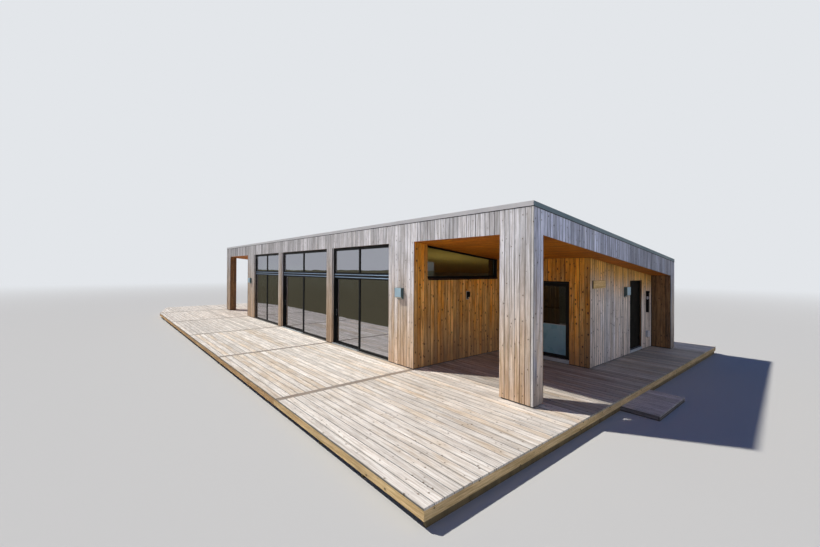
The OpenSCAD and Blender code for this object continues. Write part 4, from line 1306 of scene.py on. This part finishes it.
def lamps():
    """Three wall lamps, and the small one in the porch on its plate."""
    for name, at in (
        ("front_lamp", on_wall(FRONT_LAMP_X, HY0, 0, LAMP_Z)),
        ("left_lamp", on_wall(LEFT_LAMP_X, HY0, 0, LAMP_Z)),
        ("side_lamp", on_wall(SIDE[1], SIDE_LAMP_Y, 90, LAMP_Z)),
    ):
        # Pale blue faces are painted sky reflection, dark housings are painted shade
        lamp(name, at, LAMP, "lamp_lit_face", "lamp_shaded_side", "wall_lamps")
    x0, x1, y0, y1, z0, z1 = span("porch_lamp")
    at = on_wall(x0, (y0 + y1) / 2, 90, (z0 + z1) / 2)
    size = (y1 - y0, x1 - x0, z1 - z0, LAMP[3])
    lamp("porch_lamp_housing", at, size, "rubber", "rubber", "porch_lamp")
    s = Solids("lampplate", at=at)
    w, h = (y1 - y0) / 2 + 0.022, (z1 - z0) / 2 + 0.022
    s.box(-w, w, -0.004, 0, -h, h)
    keep(s.make("porch_lamp_plate", BEVEL))


def name_board():
    """Bare board by the entrance, with a dark end and four screws."""
    x0, x1, y0, y1, z0, z1 = span("name_board")
    b = Boards(89)
    b.add((x0, 0, z0), Z, X, Y, z1 - z0, x1 - x0, (y0 + 0.012, y1), 0.004, kind=0)
    keep(b.make("bare_board", "board"), ("name_board",))
    s = Solids("rubber", "screw")
    s.box(x0, x1 - 0.002, y0, y0 + 0.011, z0, z1)
    for y in (y0 + 0.05, y1 - 0.04):
        for z in (z0 + 0.03, z1 - 0.03):
            s.rod((x1, y, z), X, *SCREW, 1)
    keep(s.make("bare_board_end"))


def wall_fitting():
    """Dark box under an overhanging cap, with two pale plates and a panel."""
    x0, x1, y0, y1, z0, z1 = span("wall_fitting")
    s = Solids("rubber", "white", "screw")
    cap, m = 0.055, CAP_OVERHANG
    s.box(x0, x1 - m, y0 + m, y1 - m, z0, z1 - cap - 0.001)
    s.box(x0, x1, y0, y1, z1 - cap, z1)
    s.box(x1 - m, x1 - m + 0.003, y0 + m + 0.016, y1 - m - 0.016, z0 + 0.42, z0 + 0.5, 1)
    s.box(x0 + 0.022, x1 - m - 0.012, y0 + m - 0.003, y0 + m, z0 + 0.41, z0 + 0.5, 1)
    s.box(x0 + 0.01, x1 - m + 0.001, y0 + m + 0.02, y1 - m - 0.02, z0 + 0.03, z0 + 0.36)
    for z in (z0 + 0.012, z1 - cap - 0.02):
        s.rod((x1 - m, (y0 + y1) / 2, z), X, *SCREW, 2)
    keep(s.make("wall_fitting_body", 0.0015), ("wall_fitting",))


def socket_box():
    """Pale box with a lid on a hinge, and a cable gland below."""
    x0, x1, y0, y1, z0, z1 = span("socket_box")
    s = Solids("plastic", "white", "rubber", "screw")
    s.box(x0, x1 - 0.02, y0, y1, z0, z1)
    s.box(x0, x1 - 0.018, y0 + 0.003, y1 - 0.003, z0 + 0.003, z1 - 0.003, 2)
    s.box(x1 - 0.018, x1, y0, y1, z0, z1 - 0.012, 1)
    s.rod((x1 - 0.012, y0 + 0.01, z1 - 0.007), Y, 0.005, y1 - y0 - 0.02, 16, 1)
    s.rod(((x0 + x1) / 2 - 0.01, (y0 + y1) / 2, z0), -Z, 0.012, 0.03, 24, 2)
    for y in (y0 + 0.012, y1 - 0.012):
        s.rod((x1, y, z0 + 0.014), X, 0.0035, 0.001, 12, 3)
    keep(s.make("socket_box_body", 0.0015), ("socket_box",))


# Camera, light and studio


def camera():
    data = bpy.data.cameras.new("camera")
    data.sensor_width = 36
    data.lens = FOCAL / PHOTO_W * 36
    data.shift_y = (MIDDLE - PHOTO_H / 2) / PHOTO_W
    data.clip_end = 2000
    obj = new_object("camera", data)
    turn = Matrix.Translation(CAMERA_AT)
    for angle, axis in ((HEADING, "Z"), (90 + PITCH, "X"), (ROLL, "Z")):
        turn = turn @ Matrix.Rotation(math.radians(angle), 4, axis)
    obj.matrix_world = turn
    scene.camera = obj


def world():
    """Pale backdrop where it is looked at, and a weak blue light for the rest."""
    data = bpy.data.worlds.new("studio")
    scene.world = data
    data.use_nodes = True
    data.node_tree.nodes.clear()
    t = Nodes(data.node_tree)
    seen = t.node("Background", {0: PALE, 1: 1.0}).outputs[0]
    fill = t.node("Background", {0: "#88abf8", 1: 0.19}).outputs[0]
    t.node("OutputWorld", {0: t.shade(t.seen("Glossy", "Transmission"), fill, seen)})


def sun(name, energy, spread, colour, direction):
    data = bpy.data.lights.new(name, "SUN")
    data.energy, data.angle, data.color = energy, math.radians(spread), colour
    new_object(name, data).rotation_euler = Vector(direction).to_track_quat("-Z", "Y").to_euler()


def room_light():
    """Weak light that points up inside the rooms and isn't seen itself."""
    data = bpy.data.lights.new("room_light", "AREA")
    data.shape, data.size, data.energy = "DISK", 1.6, 16.0
    obj = new_object("room_light", data)
    obj.location = (PORCH[0] - 1.1, HY0 + 2.2, 1.2)
    obj.rotation_euler = (math.pi, 0, 0)
    obj.visible_camera = obj.visible_glossy = obj.visible_transmission = False


def floor():
    """Studio floor that fades into the backdrop, and is darker where glossy surfaces mirror it."""
    mesh = bpy.data.meshes.new("studio_floor")
    radius, n = 900.0, 96
    turn = [2 * math.pi * i / n for i in range(n)]
    points = [(radius * math.cos(a), radius * math.sin(a), -0.001) for a in turn]
    mesh.from_pydata(points, [], [list(range(n))])
    obj = new_object("studio_floor", mesh)
    t = Surface("studio_floor", 0.95, Specular_IOR_Level=0.0)
    mirrored = t.node("LightPath").outputs["Is Glossy Ray"]
    t.put(t.bsdf.inputs["Base Color"], t.mix(mirrored, "#d3d3d1", "#706b55"))
    far = t.node("Emission", {0: PALE}).outputs[0]
    share = t.times(t.smooth(t.vector("LENGTH", t.place()), 18.0, 70.0), t.seen("Transmission"))
    t.put(t.tree.nodes["Material Output"].inputs["Surface"], t.shade(share, t.bsdf.outputs[0], far))
    mesh.materials.append(t.mat)


def studio():
    world()
    sun("sun", 3.45, 1.6, (1.0, 0.96, 0.88), (0.69, 0.4335, -1.0))
    sun("side_light", 1.05, 45, (1.0, 0.96, 0.92), (-1.0, 0.3, 0.12))
    room_light()
    floor()
    scene.view_settings.view_transform = "Standard"


for build in (
    camera, studio, cad_materials, clad_front, clad_ends, clad_back, clad_reveals, clad_columns, clad_porch,
    clad_side, clad_terrace, walls, deck, rim, step, soffit_boards, roofing_overlaps, roof_edge, bay_frames,
    bay_leaves, windows, recess_ceilings, thresholds, door_linings, porch_door, lamps, name_board,
    wall_fitting, socket_box,
):
    build()
